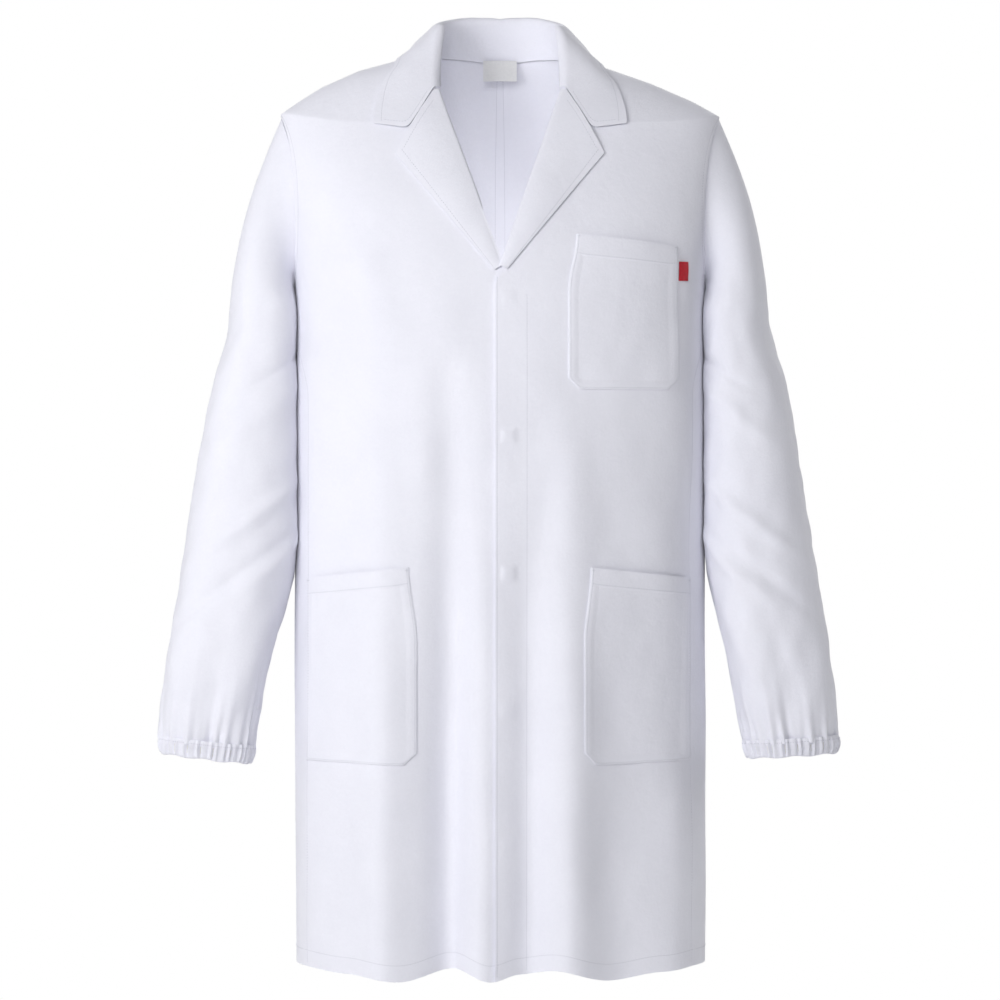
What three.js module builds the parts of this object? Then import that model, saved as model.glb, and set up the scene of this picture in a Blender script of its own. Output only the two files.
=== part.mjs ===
// A knee-length lab coat with notched lapels, a concealed snap front, two hip pockets,
// a chest pocket and elasticated cuffs, in the shape that a wearer's body gives it.
// Millimetres, +Z up. The front faces -Y and the wearer's left side is +X. The origin is the
// middle of the neck opening, level with the back neck seam, where a wearer or a peg carries it.
import * as THREE from "three";

// Driving dimensions, in mm. Heights are Z.
const BODY = { halfWidth: 212, front: 131, back: 115 }; // the skirt's section
const NECK = { halfWidth: 75, z: 8 }; // where a shoulder seam meets the collar
const SHOULDER = { halfWidth: BODY.halfWidth + 21, z: -63 }; // where a shoulder seam meets the sleeve
const ARMHOLE = { halfHeight: 88, halfDepth: 64 };
const HEM_Z = -961;
const BREAK_Z = -222; // where the lapels start to roll
const GORGE = { x: 70, z: -27 }; // where collar and lapel meet on the roll line
const NOTCH = { x: 96, z: -70 };
const LAPEL_POINT = { x: 109, z: -97 };
const FOLD_Z = -366; // the fronts swing open below this height
const SIDE_SEAM_X = BODY.halfWidth - 8;
const CLOSING_X = 9; // the line of the snaps
const OVERLAP = 14; // how far each front runs past that line
const CLOTH = 1.2; // thickness of a panel
const LINING = 0.8; // thickness of a facing or a fly
const SEAM = 0.6; // clearance between pieces that are sewn edge to edge
const PLY = 0.4; // clearance between plies of the same shape
const OVER = 1.2; // clearance between pieces of different shapes
const LAP_ROOM = 3; // room for the snaps between the two fronts
const LAP_REACH = { flat: 26, done: 85 }; // x range over which the left front rises over the right
const NECKLINE_DIP = 9; // how much lower the back neckline is in the middle than at its ends
const COLLAR = { stand: 45, fallZ: -16, cloth: 1.0, roll: 3 };
const SLEEVE_CLEAR = 1.3; // clearance between a panel and the sleeve sewn round it
const ARM_CLEAR = 4.8; // clearance between the side of the body and a hanging sleeve
const CUFF = { z: -727, height: 18, elastic: 11, web: 0.8, ease: 0.8 };
const SNAP = { firstZ: -250, pitch: 143, count: 5, socketR: 6.5, studR: 5.5, postR: 1.9, holeR: 0.8 };
const POCKET_ROOM = 10; // how far a pocket's mouth stands open
const CHEST_POCKET = {
  inner: 71,
  outer: SIDE_SEAM_X - 19,
  top: -183,
  slope: -11,
  bottom: -345,
  cut: 12,
  lean: 9,
};
const HIP_POCKET = {
  inner: 86,
  outer: SIDE_SEAM_X - 3,
  top: -530,
  slope: -12,
  bottom: -736,
  cut: 12,
  lean: 8,
};
const LABEL = { width: 36, height: 22, topZ: 2.5, standOff: 11.3, sheet: 0.6 };
const TAB = { width: 9, height: 20, topZ: -210, sheet: 1.0 };

const ARMHOLE_Z = SHOULDER.z - ARMHOLE.halfHeight;
const ARMPIT_Z = ARMHOLE_Z - ARMHOLE.halfHeight;
const FRONT_COLUMNS = [0, 1, 2, 3, 4, 6, 8, 10, 12, 13, 14, 15, 16].map((k) => k / 16);
const FLY_COLUMNS = 3;
const FACING_COLUMNS = 5;
const BACK_COLUMNS = 9;

const lerp = THREE.MathUtils.lerp;
const clamp = THREE.MathUtils.clamp;
const smooth = THREE.MathUtils.smoothstep;
const vec = (x, y, z) => new THREE.Vector3(x, y, z);
const UP = vec(0, 0, 1);

// n + 1 numbers from a to b, evenly spaced.
function steps(a, b, n) {
  return Array.from({ length: n + 1 }, (_, i) => lerp(a, b, i / n));
}

// A smooth curve through a table whose first column is its parameter.
function curve(rows) {
  const knots = rows.map((row) => row[0]);
  const values = rows.flatMap((row) => row.slice(1));
  const fit = new THREE.CubicInterpolant(knots, values, rows[0].length - 1);
  return (t) => Array.from(fit.evaluate(clamp(t, knots[0], knots[knots.length - 1])));
}

// The body form that the panels follow: horizontal sections, each a rounded oval.
// Each row is a height, the half width, the depth to the front and to the back, and the squareness.
const section = curve([
  [HEM_Z, BODY.halfWidth, BODY.front, BODY.back, 2.5],
  [FOLD_Z, BODY.halfWidth, BODY.front, BODY.back, 2.5],
  [ARMPIT_Z, BODY.halfWidth + 2, BODY.front - 6, BODY.back + 3, 2.7],
  [ARMHOLE_Z, SHOULDER.halfWidth - 10, BODY.front - 23, BODY.back, 2.8],
  [ARMHOLE_Z + 0.55 * ARMHOLE.halfHeight, SHOULDER.halfWidth - 4, BODY.front - 42, BODY.back - 10, 2.8],
  [SHOULDER.z, SHOULDER.halfWidth, BODY.front - 59, BODY.back - 23, 2.6],
  [lerp(SHOULDER.z, NECK.z, 0.46), SHOULDER.halfWidth, BODY.front - 75, BODY.back - 37, 2.4],
  [NECK.z, NECK.halfWidth, 40, 60, 2.2],
]);

// A shoulder seam is straight, so above the shoulder tip the half width follows its slope.
function sectionAt(z) {
  const [halfWidth, front, back, square] = section(Math.max(z, FOLD_Z));
  const run = (SHOULDER.halfWidth - NECK.halfWidth) / (NECK.z - SHOULDER.z);
  const sloped = Math.max(20, NECK.halfWidth + (NECK.z - z) * run);
  return { a: z > SHOULDER.z ? sloped : halfWidth, front, back, square };
}

// The form at an angle t round the body: 0 at the front, +-90 degrees at the sides, 180 at the back.
function form(t, z) {
  const { a, front, back, square } = sectionAt(z);
  const s = Math.abs(Math.sin(t)) / a;
  const c = Math.abs(Math.cos(t)) / (Math.cos(t) >= 0 ? front : back);
  const r = Math.pow(Math.pow(s, square) + Math.pow(c, square), -1 / square);
  return vec(r * Math.sin(t), -r * Math.cos(t), z);
}

function formNormal(t, z) {
  const across = form(t + 2e-3, z).sub(form(t - 2e-3, z));
  const up = form(t, z + 0.5).sub(form(t, z - 0.5));
  return across.cross(up).normalize();
}

// The angle at which the form has this x, or this distance from the plane of the side seams.
function angleAtX(x, z) {
  const { a, front, square } = sectionAt(z);
  const share = clamp(Math.abs(x) / a, 0, 1);
  return Math.atan2(x, front * Math.pow(1 - Math.pow(share, square), 1 / square));
}

function angleAtDepth(depth, z, back) {
  const { a, front, back: rear, square } = sectionAt(z);
  const share = clamp(depth / (back ? rear : front), 0, 1);
  const x = a * Math.pow(1 - Math.pow(share, square), 1 / square);
  return Math.atan2(x, back ? -depth : depth);
}

// Moves a point out from the form until it is at least this far from it.
function keepOff(p, distance) {
  const level = ({ x, y, z }) => {
    const { a, front, back, square } = sectionAt(z);
    return Math.pow(Math.abs(x) / a, square) + Math.pow(Math.abs(y) / (y < 0 ? front : back), square);
  };
  const e = 0.2;
  for (let i = 0; i < 4; i++) {
    if (p.z > NECK.z + 4) return p;
    const slope = vec(
      level(vec(p.x + e, p.y, p.z)) - level(vec(p.x - e, p.y, p.z)),
      level(vec(p.x, p.y + e, p.z)) - level(vec(p.x, p.y - e, p.z)),
      level(vec(p.x, p.y, p.z + e)) - level(vec(p.x, p.y, p.z - e)),
    ).divideScalar(2 * e);
    const short = distance - (level(p) - 1) / slope.length();
    if (short > 0) p = p.clone().addScaledVector(slope.normalize(), short);
  }
  return p;
}

// Turns a geometry's faces outward, whichever way round they were listed.
function outward(position, index) {
  const at = (i) => vec(position[3 * i], position[3 * i + 1], position[3 * i + 2]);
  let volume = 0;
  for (let i = 0; i < index.length; i += 3)
    volume += at(index[i]).dot(at(index[i + 1]).cross(at(index[i + 2])));
  const faces = volume < 0 ? [...index].reverse() : index;
  const geometry = new THREE.BufferGeometry();
  geometry.setAttribute("position", new THREE.Float32BufferAttribute(position, 3));
  geometry.setIndex(faces);
  geometry.computeVertexNormals();
  return geometry;
}

// A closed sheet over a grid. place(u, v) gives a point and the normal there, and the sheet
// fills the space between two distances along that normal. A closed sheet joins the ends of us.
function sheet(place, us, vs, low, high, closed = false) {
  const nu = us.length;
  const nv = vs.length;
  const position = [];
  for (const distance of [low, high])
    for (const v of vs)
      for (const u of us) {
        const { p, n } = place(u, v);
        const d = typeof distance === "function" ? distance(u, v) : distance;
        position.push(...p.clone().addScaledVector(n, d).toArray());
      }
  const id = (layer, i, j) => layer * nu * nv + j * nu + (i % nu);
  const index = [];
  const quad = (a, b, c, d) => index.push(a, b, c, a, c, d);
  const across = closed ? nu : nu - 1;
  for (let i = 0; i < across; i++) {
    for (let j = 0; j < nv - 1; j++) {
      quad(id(0, i, j), id(0, i, j + 1), id(0, i + 1, j + 1), id(0, i + 1, j));
      quad(id(1, i, j), id(1, i + 1, j), id(1, i + 1, j + 1), id(1, i, j + 1));
    }
    quad(id(0, i, 0), id(0, i + 1, 0), id(1, i + 1, 0), id(1, i, 0));
    quad(id(0, i + 1, nv - 1), id(0, i, nv - 1), id(1, i, nv - 1), id(1, i + 1, nv - 1));
  }
  for (let j = 0; !closed && j < nv - 1; j++) {
    quad(id(0, 0, j + 1), id(0, 0, j), id(1, 0, j), id(1, 0, j + 1));
    quad(id(0, nu - 1, j), id(0, nu - 1, j + 1), id(1, nu - 1, j + 1), id(1, nu - 1, j));
  }
  return outward(position, index);
}

// A ring: at(q, point) places each point of a closed profile at each angle q.
function ring(segments, profile, at) {
  const position = [];
  for (let i = 0; i < segments; i++)
    for (const point of profile) position.push(...at((2 * Math.PI * i) / segments, point).toArray());
  const m = profile.length;
  const id = (i, j) => (i % segments) * m + (j % m);
  const index = [];
  for (let i = 0; i < segments; i++)
    for (let j = 0; j < m; j++) {
      index.push(id(i, j), id(i + 1, j), id(i + 1, j + 1));
      index.push(id(i, j), id(i + 1, j + 1), id(i, j + 1));
    }
  return outward(position, index);
}

// A place for sheet() on any surface, with the normal worked out from points nearby.
function onSurface(surface) {
  const e = 1e-3;
  return (u, v) => {
    const across = surface(u + e, v).sub(surface(u - e, v));
    const up = surface(u, v + e).sub(surface(u, v - e));
    return { p: surface(u, v), n: across.cross(up).normalize() };
  };
}

const onForm = (t, z) => ({ p: form(t, z), n: formNormal(t, z) });

const material = (color, roughness) =>
  new THREE.MeshStandardMaterial({ color, roughness, metalness: 0 });
const whiteCloth = material(0xf3f4f8, 0.85);
const whiteTape = material(0xfafafa, 0.75);
const elasticWeb = material(0xeceae4, 0.9);
const snapPlastic = material(0xf1f0ec, 0.35);
const redTape = material(0xc21f32, 0.7);

const coat = new THREE.Group();

function add(name, geometry, finish) {
  const mesh = new THREE.Mesh(geometry, finish);
  mesh.name = name;
  coat.add(mesh);
}

const SIDES = [
  ["left", 1],
  ["right", -1],
];

// How far a front stands off the form. The left front rises over the right one's closing edge.
const RISE = CLOTH + LAP_ROOM + 2 * (LINING + PLY);
function lift(x, side) {
  return side < 0 ? 0 : RISE * (1 - smooth(x, LAP_REACH.flat, LAP_REACH.done));
}

// The x of the inner edge of a front: the closing edge, then the roll line, then the neckline.
function frontEdge(side, z) {
  const closing = CLOSING_X - side * OVERLAP;
  if (z <= BREAK_Z) return closing;
  if (z <= GORGE.z) return lerp(closing, side * GORGE.x, (z - BREAK_Z) / (GORGE.z - BREAK_Z));
  return side * lerp(GORGE.x, NECK.halfWidth - 4, (z - GORGE.z) / (NECK.z - GORGE.z));
}

const armholeDepth = (z) =>
  ARMHOLE.halfDepth * Math.sqrt(Math.max(0, 1 - ((z - ARMHOLE_Z) / ARMHOLE.halfHeight) ** 2));

// The angle of a panel's outer edge: the shoulder seam, the armhole, then the side seam, which
// drifts forward below the armhole and then hangs straight.
function outerAngle(z, back) {
  if (z >= SHOULDER.z) return Math.PI / 2;
  if (z > ARMPIT_Z) return angleAtDepth(armholeDepth(z), z, back);
  return lerp(Math.PI / 2, angleAtX(SIDE_SEAM_X, z), smooth(-z, -ARMPIT_Z, -FOLD_Z - 15));
}

const shoulderRows = steps(NECK.z - 1, SHOULDER.z, 4);
const armholeRows = steps(0, Math.PI, 9).map((q) => ARMHOLE_Z + ARMHOLE.halfHeight * Math.cos(q));
const chestRows = [
  ...shoulderRows,
  ...armholeRows.slice(1),
  ...steps(ARMPIT_Z, FOLD_Z + SEAM / 2, 4).slice(1),
];
const skirtRows = steps(FOLD_Z - SEAM / 2, HEM_Z, 4);

// A front or back panel, or the part of one between two of its columns, at a distance from the form.
function frontPlace(side) {
  return (u, v) => {
    const outer = side * (outerAngle(v, false) - SEAM / 2 / sectionAt(v).a);
    const t = lerp(angleAtX(frontEdge(side, v), v), outer, u);
    return onForm(t, v);
  };
}

function frontPart(side, heights, columns, low, high) {
  const place = frontPlace(side);
  const from = (d) => (u, v) => lift(place(u, v).p.x, side) + d;
  return sheet(place, FRONT_COLUMNS.slice(0, columns), heights, from(low), from(high));
}

function backPlace(side) {
  return (u, v) => {
    const z = v - NECKLINE_DIP * (1 - u) ** 2 * smooth(v, SHOULDER.z, NECK.z);
    const seam = SEAM / 2 / sectionAt(z).a;
    return onForm(side * lerp(Math.PI - seam, outerAngle(z, true) + seam, u), z);
  };
}

for (const [name, side] of SIDES) {
  const backRows = [...chestRows, ...skirtRows];
  add("back_" + name, sheet(backPlace(side), steps(0, 1, BACK_COLUMNS), backRows, 0, CLOTH), whiteCloth);
  const halves = [
    ["_chest", chestRows],
    ["_skirt", skirtRows],
  ];
  for (const [half, rows] of halves) {
    add("front_" + name + half, frontPart(side, rows, FRONT_COLUMNS.length, 0, CLOTH), whiteCloth);
    const facing = frontPart(side, rows, FACING_COLUMNS, -PLY - LINING, -PLY);
    add("facing_" + name + half, facing, whiteCloth);
  }
}

// The fly under the left front's edge carries the snaps out of sight.
const flyRows = [BREAK_Z - 8, ...chestRows.filter((z) => z < BREAK_Z - 9)];
add("fly_chest", frontPart(1, flyRows, FLY_COLUMNS, -2 * (PLY + LINING), -2 * PLY - LINING), whiteCloth);
add("fly_skirt", frontPart(1, skirtRows, FLY_COLUMNS, -2 * (PLY + LINING), -2 * PLY - LINING), whiteCloth);

// Snaps: a stud on the right front enters a socket under the left front's fly.
const snapAt = (z) => {
  const { p, n } = onForm(angleAtX(CLOSING_X, z), z);
  const e1 = UP.clone().cross(n).normalize();
  const e2 = n.clone().cross(e1);
  return (q, [r, h]) =>
    p
      .clone()
      .addScaledVector(n, h)
      .addScaledVector(e1, r * Math.cos(q))
      .addScaledVector(e2, r * Math.sin(q));
};
const snapBase = CLOTH + 0.3;
const snapTop = CLOTH + LAP_ROOM - 0.4;
const flange = 0.7;
for (let k = 0; k < SNAP.count; k++) {
  const place = snapAt(SNAP.firstZ - k * SNAP.pitch);
  const stud = [
    [SNAP.holeR, snapBase],
    [SNAP.studR, snapBase],
    [SNAP.studR, snapBase + flange],
    [SNAP.postR, snapBase + flange],
    [SNAP.postR, snapTop - 0.3],
    [SNAP.holeR, snapTop - 0.3],
  ];
  const socket = [
    [SNAP.postR + 0.35, snapTop - 1.1],
    [SNAP.postR + 2.2, snapTop - 1.1],
    [SNAP.socketR, snapTop - flange],
    [SNAP.socketR, snapTop],
    [SNAP.postR + 0.35, snapTop],
  ];
  add("snap_stud_" + (k + 1), ring(12, stud, place), snapPlastic);
  add("snap_socket_" + (k + 1), ring(12, socket, place), snapPlastic);
}

// Collar. Its path across runs from the neck seam up the stand, over the roll and down the fall.
// w runs round the neck: -1 and 1 at the ends of the collar, 0 at the middle of the back.
const SIDE_W = 0.55; // the share of the collar that lies behind the shoulder seam
const fallEdge = curve([
  [0, 180, COLLAR.fallZ],
  [0.3, 137, COLLAR.fallZ],
  [SIDE_W, 90, COLLAR.fallZ + 8],
  [0.8, 68.5, -41],
  [1, 63.5, -65],
]);
const collarTop = CLOTH + OVER + 0.6 + COLLAR.cloth;

// A point of the neckline, with the directions in towards the neck and out from the form.
function neckline(w) {
  const side = w < 0 ? -1 : 1;
  const k = Math.abs(w);
  let place;
  if (k < SIDE_W) {
    const u = k / SIDE_W;
    const z = NECK.z - 1 - NECKLINE_DIP * (1 - u) ** 2;
    place = onForm(side * lerp(Math.PI, Math.PI / 2, u), z);
  } else {
    const z = lerp(NECK.z - 1, GORGE.z, (k - SIDE_W) / (1 - SIDE_W));
    place = onForm(angleAtX(frontEdge(side, z), z), z);
  }
  const inward = vec(-place.p.x, -place.p.y, 0).normalize();
  return { p: place.p, n: place.n, inward, k, side };
}

function collarPath(w) {
  const { p, n, inward, k, side } = neckline(w);
  const go = (a, b, c) => p.clone().addScaledVector(inward, a).addScaledVector(UP, b).addScaledVector(n, c);
  const height = 6 + (COLLAR.stand - 6) * (1 - Math.pow(clamp((k - 0.2) / 0.8, 0, 1), 1.6));
  const lean = height / 3;
  const r = COLLAR.roll;
  const tall = [
    go(7, 0, 0),
    go(7 + lean * 0.4, height * 0.5, 0),
    go(lean + 2, height - r, 0),
    go(lean - 1, height, 0),
    go(lean - 1 - 2 * r, height - r, 0),
  ];
  const flat = [
    go(7.5, 0, -3),
    go(8, 0, -1.5),
    go(8, 0, 1.5),
    go(6, 0, collarTop),
    go(1, 0, collarTop + 0.8),
  ];
  const fold = smooth(k, 0.6, 1);
  const points = tall.map((q, i) => q.lerp(flat[i], fold));
  const [degrees, z] = fallEdge(k);
  const end = onForm(side * THREE.MathUtils.degToRad(degrees), z);
  const edge = end.p.addScaledVector(end.n, collarTop);
  const notch = onForm(angleAtX(side * (NOTCH.x + 0.4), NOTCH.z), NOTCH.z);
  const middle = points[4]
    .clone()
    .lerp(edge, 0.5)
    .addScaledVector(inward, -3)
    .addScaledVector(UP, 3);
  middle.lerp(notch.p.addScaledVector(notch.n, collarTop), smooth(k, 0.75, 1));
  return { rolled: new THREE.CatmullRomCurve3(points), start: points[4], middle, edge };
}

// v is 0 at the neck seam, 1 at the top of the roll, 1.5 at its end, 2.5 at the fall's middle and 3.5 at its edge.
function collar(w, v) {
  const { rolled, start, middle, edge } = collarPath(w);
  if (v <= 1.5) return rolled.getPoint(Math.max(0, v) / 1.5);
  const path = v < 2.5 ? start.clone().lerp(middle, v - 1.5) : middle.clone().lerp(edge, v - 2.5);
  return keepOff(path, collarTop);
}
const round = steps(-0.92, 0.92, 24);
const across = [0, 0.5, 0.8, 1, 1.2, 1.5, 2, 2.5, 3];
const upper = sheet(onSurface(collar), [-1, ...round, 1], [...across, 3.5], 0, COLLAR.cloth);
add("upper_collar", upper, whiteCloth);
const underW = 0.985;
const under = [-underW, ...round, underW];
add("under_collar", sheet(onSurface(collar), under, [...across, 3.45], -0.6 - COLLAR.cloth, -0.6), whiteCloth);

// Lapels: each turns over its front's roll line and lies on the chest. Below this height the
// right one is under the left front.
const LAP_CLEAR_Z = BREAK_Z + 60;
function lapel(side) {
  return (u, v) => {
    const z = lerp(BREAK_Z + 1, GORGE.z - 2, v);
    const ownEdge = frontEdge(side, z);
    const free = side > 0 ? ownEdge : Math.min(ownEdge, frontEdge(1, z) - 11);
    const tip = side > 0 ? CLOSING_X - OVERLAP + 6 : free - 4;
    const outerX = lerp(tip, side * LAPEL_POINT.x, v);
    const outerZ = lerp(BREAK_Z - 1, LAPEL_POINT.z, v);
    const root = onForm(angleAtX(free, z), z);
    const across = u <= 0.2 ? 0 : (u - 0.2) / 0.8;
    const x = lerp(free, outerX, across);
    const bow = 3 * Math.sin(Math.PI * across) * v ** 4;
    const height = lerp(z, outerZ, across) + bow;
    const base = onForm(angleAtX(x, height), height);
    const stand = lift(x, side) + CLOTH + OVER + 0.6 * Math.sin(Math.PI * across);
    const flat = base.p.addScaledVector(base.n, stand);
    if (u > 0.2) return flat;
    const turn = Math.PI * (1 - u / 0.2);
    const top = lift(free, side) + CLOTH + OVER;
    const wrapped = side > 0 ? 1 : smooth(z, LAP_CLEAR_Z, LAP_CLEAR_Z + 20);
    const low = lerp(top, lift(free, side) - 0.4, wrapped);
    const inwards = lerp(3 * (1 - u / 0.2), 1 - u / 0.2 + 2.4 * Math.sin(turn), wrapped);
    return root.p
      .addScaledVector(root.n, lerp(low, top, 0.5 + 0.5 * Math.cos(turn)))
      .add(vec(-side * inwards, 0, 0));
  };
}
const lapelUs = [0.05, 0.1, 0.15, 0.2, 0.36, 0.52, 0.68, 0.84, 1];
const lapelVs = steps(0.02, 1, 12);
for (const [name, side] of SIDES) {
  const place = onSurface(lapel(side));
  const flip = side;
  const turned = (u, v) => {
    const { p, n } = place(u, v);
    return { p, n: n.multiplyScalar(flip) };
  };
  add("lapel_" + name, sheet(turned, lapelUs, lapelVs, 0, 2), whiteCloth);
}

// Sleeves: q runs round the arm, 0 on the outside and a quarter turn on the front.
// Each row is a height, how far out from the body's side the sleeve starts, its width, its half
// depth and the y of its middle.
const CAP_END_Z = ARMPIT_Z - 23;
const armHeight = (share) => lerp(CUFF.z, CAP_END_Z, share);
const sleeveSection = curve([
  [CUFF.z, 36, 101, 40, -34],
  [CUFF.z + 22, 32, 104, 50, -35],
  [armHeight(0.213), 20, 109, 60, -34],
  [armHeight(0.415), 1, 116, 72, -28],
  [armHeight(0.617), 0, 102, 82, -20],
  [armHeight(0.832), 0, 85, 90, -12],
  [CAP_END_Z, 0, 65, 92, -6],
]);

function sleeveRing(q, z) {
  const [out, width, depth, middle] = sleeveSection(z);
  const half = width / 2;
  const x = BODY.halfWidth + CLOTH + ARM_CLEAR + out + half;
  return vec(x + half * Math.cos(q), middle - depth * Math.sin(q), z);
}

function armhole(q) {
  const z = ARMHOLE_Z + ARMHOLE.halfHeight * Math.cos(q);
  const depth = Math.abs(ARMHOLE.halfDepth * Math.sin(q));
  const p = form(angleAtDepth(depth, z, Math.sin(q) < 0), z);
  return p.add(vec(CLOTH + SLEEVE_CLEAR, 0, 0));
}

const SLEEVE_END_Z = CUFF.z + CUFF.height + SEAM;
function sleeve(side) {
  const turn = ({ x, y, z }) => vec(side * x, y, z);
  return (q, v) => {
    if (v > 1) return turn(sleeveRing(q, lerp(CAP_END_Z, SLEEVE_END_Z, v - 1)));
    const a = armhole(q);
    const b = sleeveRing(q, CAP_END_Z);
    const length = a.distanceTo(b);
    const start = vec(0.4 + 0.35 * Math.abs(Math.sin(q)), 0, -0.9).multiplyScalar(length);
    const end = vec(0.08, 0, -1).multiplyScalar(length);
    const h = v * v * (3 - 2 * v);
    return turn(
      a
        .clone()
        .lerp(b, h)
        .addScaledVector(start, v * (1 - v) * (1 - v))
        .addScaledVector(end, v * v * (v - 1)),
    );
  };
}

const AROUND = 18;
const angles = steps(0, 2 * Math.PI, AROUND).slice(0, AROUND);
const cuffLevel = (d, h) => [d, CUFF.z + h];
const bandZ = (CUFF.height - CUFF.elastic) / 2 + 1;
const cuffInner = -1 - CUFF.web - 2 * CUFF.ease;
const casing = [
  cuffLevel(0, 0),
  cuffLevel(0, CUFF.height),
  cuffLevel(-1, CUFF.height),
  cuffLevel(-1, bandZ + CUFF.elastic),
  cuffLevel(-1, bandZ),
  cuffLevel(-1, 1),
  cuffLevel(cuffInner, 1),
  cuffLevel(cuffInner, bandZ),
  cuffLevel(cuffInner, bandZ + CUFF.elastic),
  cuffLevel(cuffInner, CUFF.height),
  cuffLevel(cuffInner - 1, CUFF.height),
  cuffLevel(cuffInner - 1, 0),
];
const band = [
  cuffLevel(-1 - CUFF.ease, bandZ),
  cuffLevel(-1 - CUFF.ease, bandZ + CUFF.elastic),
  cuffLevel(-1 - CUFF.ease - CUFF.web, bandZ + CUFF.elastic),
  cuffLevel(-1 - CUFF.ease - CUFF.web, bandZ),
];
for (const [name, side] of SIDES) {
  const place = onSurface(sleeve(side));
  const outside = (q, v) => {
    const { p, n } = place(q, v);
    return { p, n: n.multiplyScalar(-side) };
  };
  const rows = [...steps(0, 1, 6), ...steps(1, 2, 7).slice(1)];
  add("sleeve_" + name, sheet(outside, angles, rows, -CLOTH, 0, true), whiteCloth);
  const cuff = (q, [d, z]) => {
    const end = (angle) => {
      const top = sleeveRing(angle, CUFF.z + CUFF.height);
      return sleeveRing(angle, CUFF.z).lerp(top, (z - CUFF.z) / CUFF.height);
    };
    const along = end(q + 1e-3).sub(end(q - 1e-3));
    const p = end(q).addScaledVector(UP.clone().cross(along).normalize(), d);
    return vec(side * p.x, p.y, p.z);
  };
  add("cuff_casing_" + name, ring(AROUND, casing, cuff), whiteCloth);
  add("cuff_elastic_" + name, ring(AROUND, band, cuff), elasticWeb);
}

// Patch pockets, cut across the inner lower corner or across both, each standing open at its mouth.
function pocket(side, { inner, outer, top, slope, bottom, cut, lean }, bothCorners) {
  const width = outer - inner;
  const corner = (u) => Math.max(0, cut - u * width) + (bothCorners ? Math.max(0, cut - (1 - u) * width) : 0);
  const place = (u, v) => {
    const x = side * lerp(inner + lean * smooth(v, 0.6, 1), outer, u);
    const z = lerp(bottom + corner(u), top + slope * u, v);
    return onForm(angleAtX(x, z), z);
  };
  const room = (u, v) => {
    const edge = Math.min(1, u / 0.22, (1 - u) / 0.22);
    const mouth = POCKET_ROOM * Math.pow(v, 0.7) * edge * (2 - edge);
    return lift(place(u, v).p.x, side) + CLOTH + OVER + mouth;
  };
  const us = [0, cut / width, 0.22, 0.36, 0.5, 0.64, 0.78, 1 - cut / width, 1];
  const vs = [0, 0.12, 0.3, 0.5, 0.7, 0.87, 1];
  const hem = (u, v) => room(u, v) + CLOTH * (v > 0.86 ? 2 : 1);
  return sheet(place, us, vs, room, hem);
}
add("chest_pocket", pocket(1, CHEST_POCKET, true), whiteCloth);
for (const [name, side] of SIDES) add("hip_pocket_" + name, pocket(side, HIP_POCKET, false), whiteCloth);

// A folded tape caught in the chest pocket's outer edge.
const tabPlace = (u, v) => {
  const z = TAB.topZ - TAB.height * v;
  const x = CHEST_POCKET.outer + SEAM + TAB.width * u;
  return onForm(angleAtX(x, z), z);
};
const tabLow = CLOTH + OVER;
add("pocket_tab", sheet(tabPlace, [0, 1], [0, 1], tabLow, tabLow + TAB.sheet), redTape);

// The label hangs from the foot of the collar's stand, inside the back.
const labelY = neckline(0).p.y - LABEL.standOff;
const label = new THREE.BoxGeometry(LABEL.width, LABEL.sheet, LABEL.height);
label.translate(0, labelY, LABEL.topZ - LABEL.height / 2);
add("neck_label", label, whiteTape);

export default coat;
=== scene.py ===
"""A white lab coat with notched lapels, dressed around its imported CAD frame.

Every cloth piece is a closed sheet over a grid. Its surface is worked out in millimetres from the
same body form that the frame follows, and drape() adds the folds that hang in the cloth.
"""

import math

import bpy
import numpy as np
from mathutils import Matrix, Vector


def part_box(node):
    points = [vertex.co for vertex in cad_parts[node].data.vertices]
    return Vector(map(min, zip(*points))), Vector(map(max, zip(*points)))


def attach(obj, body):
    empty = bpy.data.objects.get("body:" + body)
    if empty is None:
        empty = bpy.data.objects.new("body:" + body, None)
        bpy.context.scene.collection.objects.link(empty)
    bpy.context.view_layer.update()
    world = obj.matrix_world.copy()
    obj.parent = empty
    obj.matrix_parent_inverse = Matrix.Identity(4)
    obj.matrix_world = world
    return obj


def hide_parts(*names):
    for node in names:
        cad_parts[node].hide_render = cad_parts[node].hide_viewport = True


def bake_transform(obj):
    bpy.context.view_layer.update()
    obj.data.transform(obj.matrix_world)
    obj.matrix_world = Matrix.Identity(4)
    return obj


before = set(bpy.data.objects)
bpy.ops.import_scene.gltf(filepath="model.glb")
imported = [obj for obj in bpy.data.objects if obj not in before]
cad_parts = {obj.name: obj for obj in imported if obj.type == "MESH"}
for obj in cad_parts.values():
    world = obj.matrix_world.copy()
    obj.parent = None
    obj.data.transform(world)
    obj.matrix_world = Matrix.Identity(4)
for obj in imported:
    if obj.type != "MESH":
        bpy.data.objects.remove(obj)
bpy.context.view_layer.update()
MM = 0.001

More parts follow.
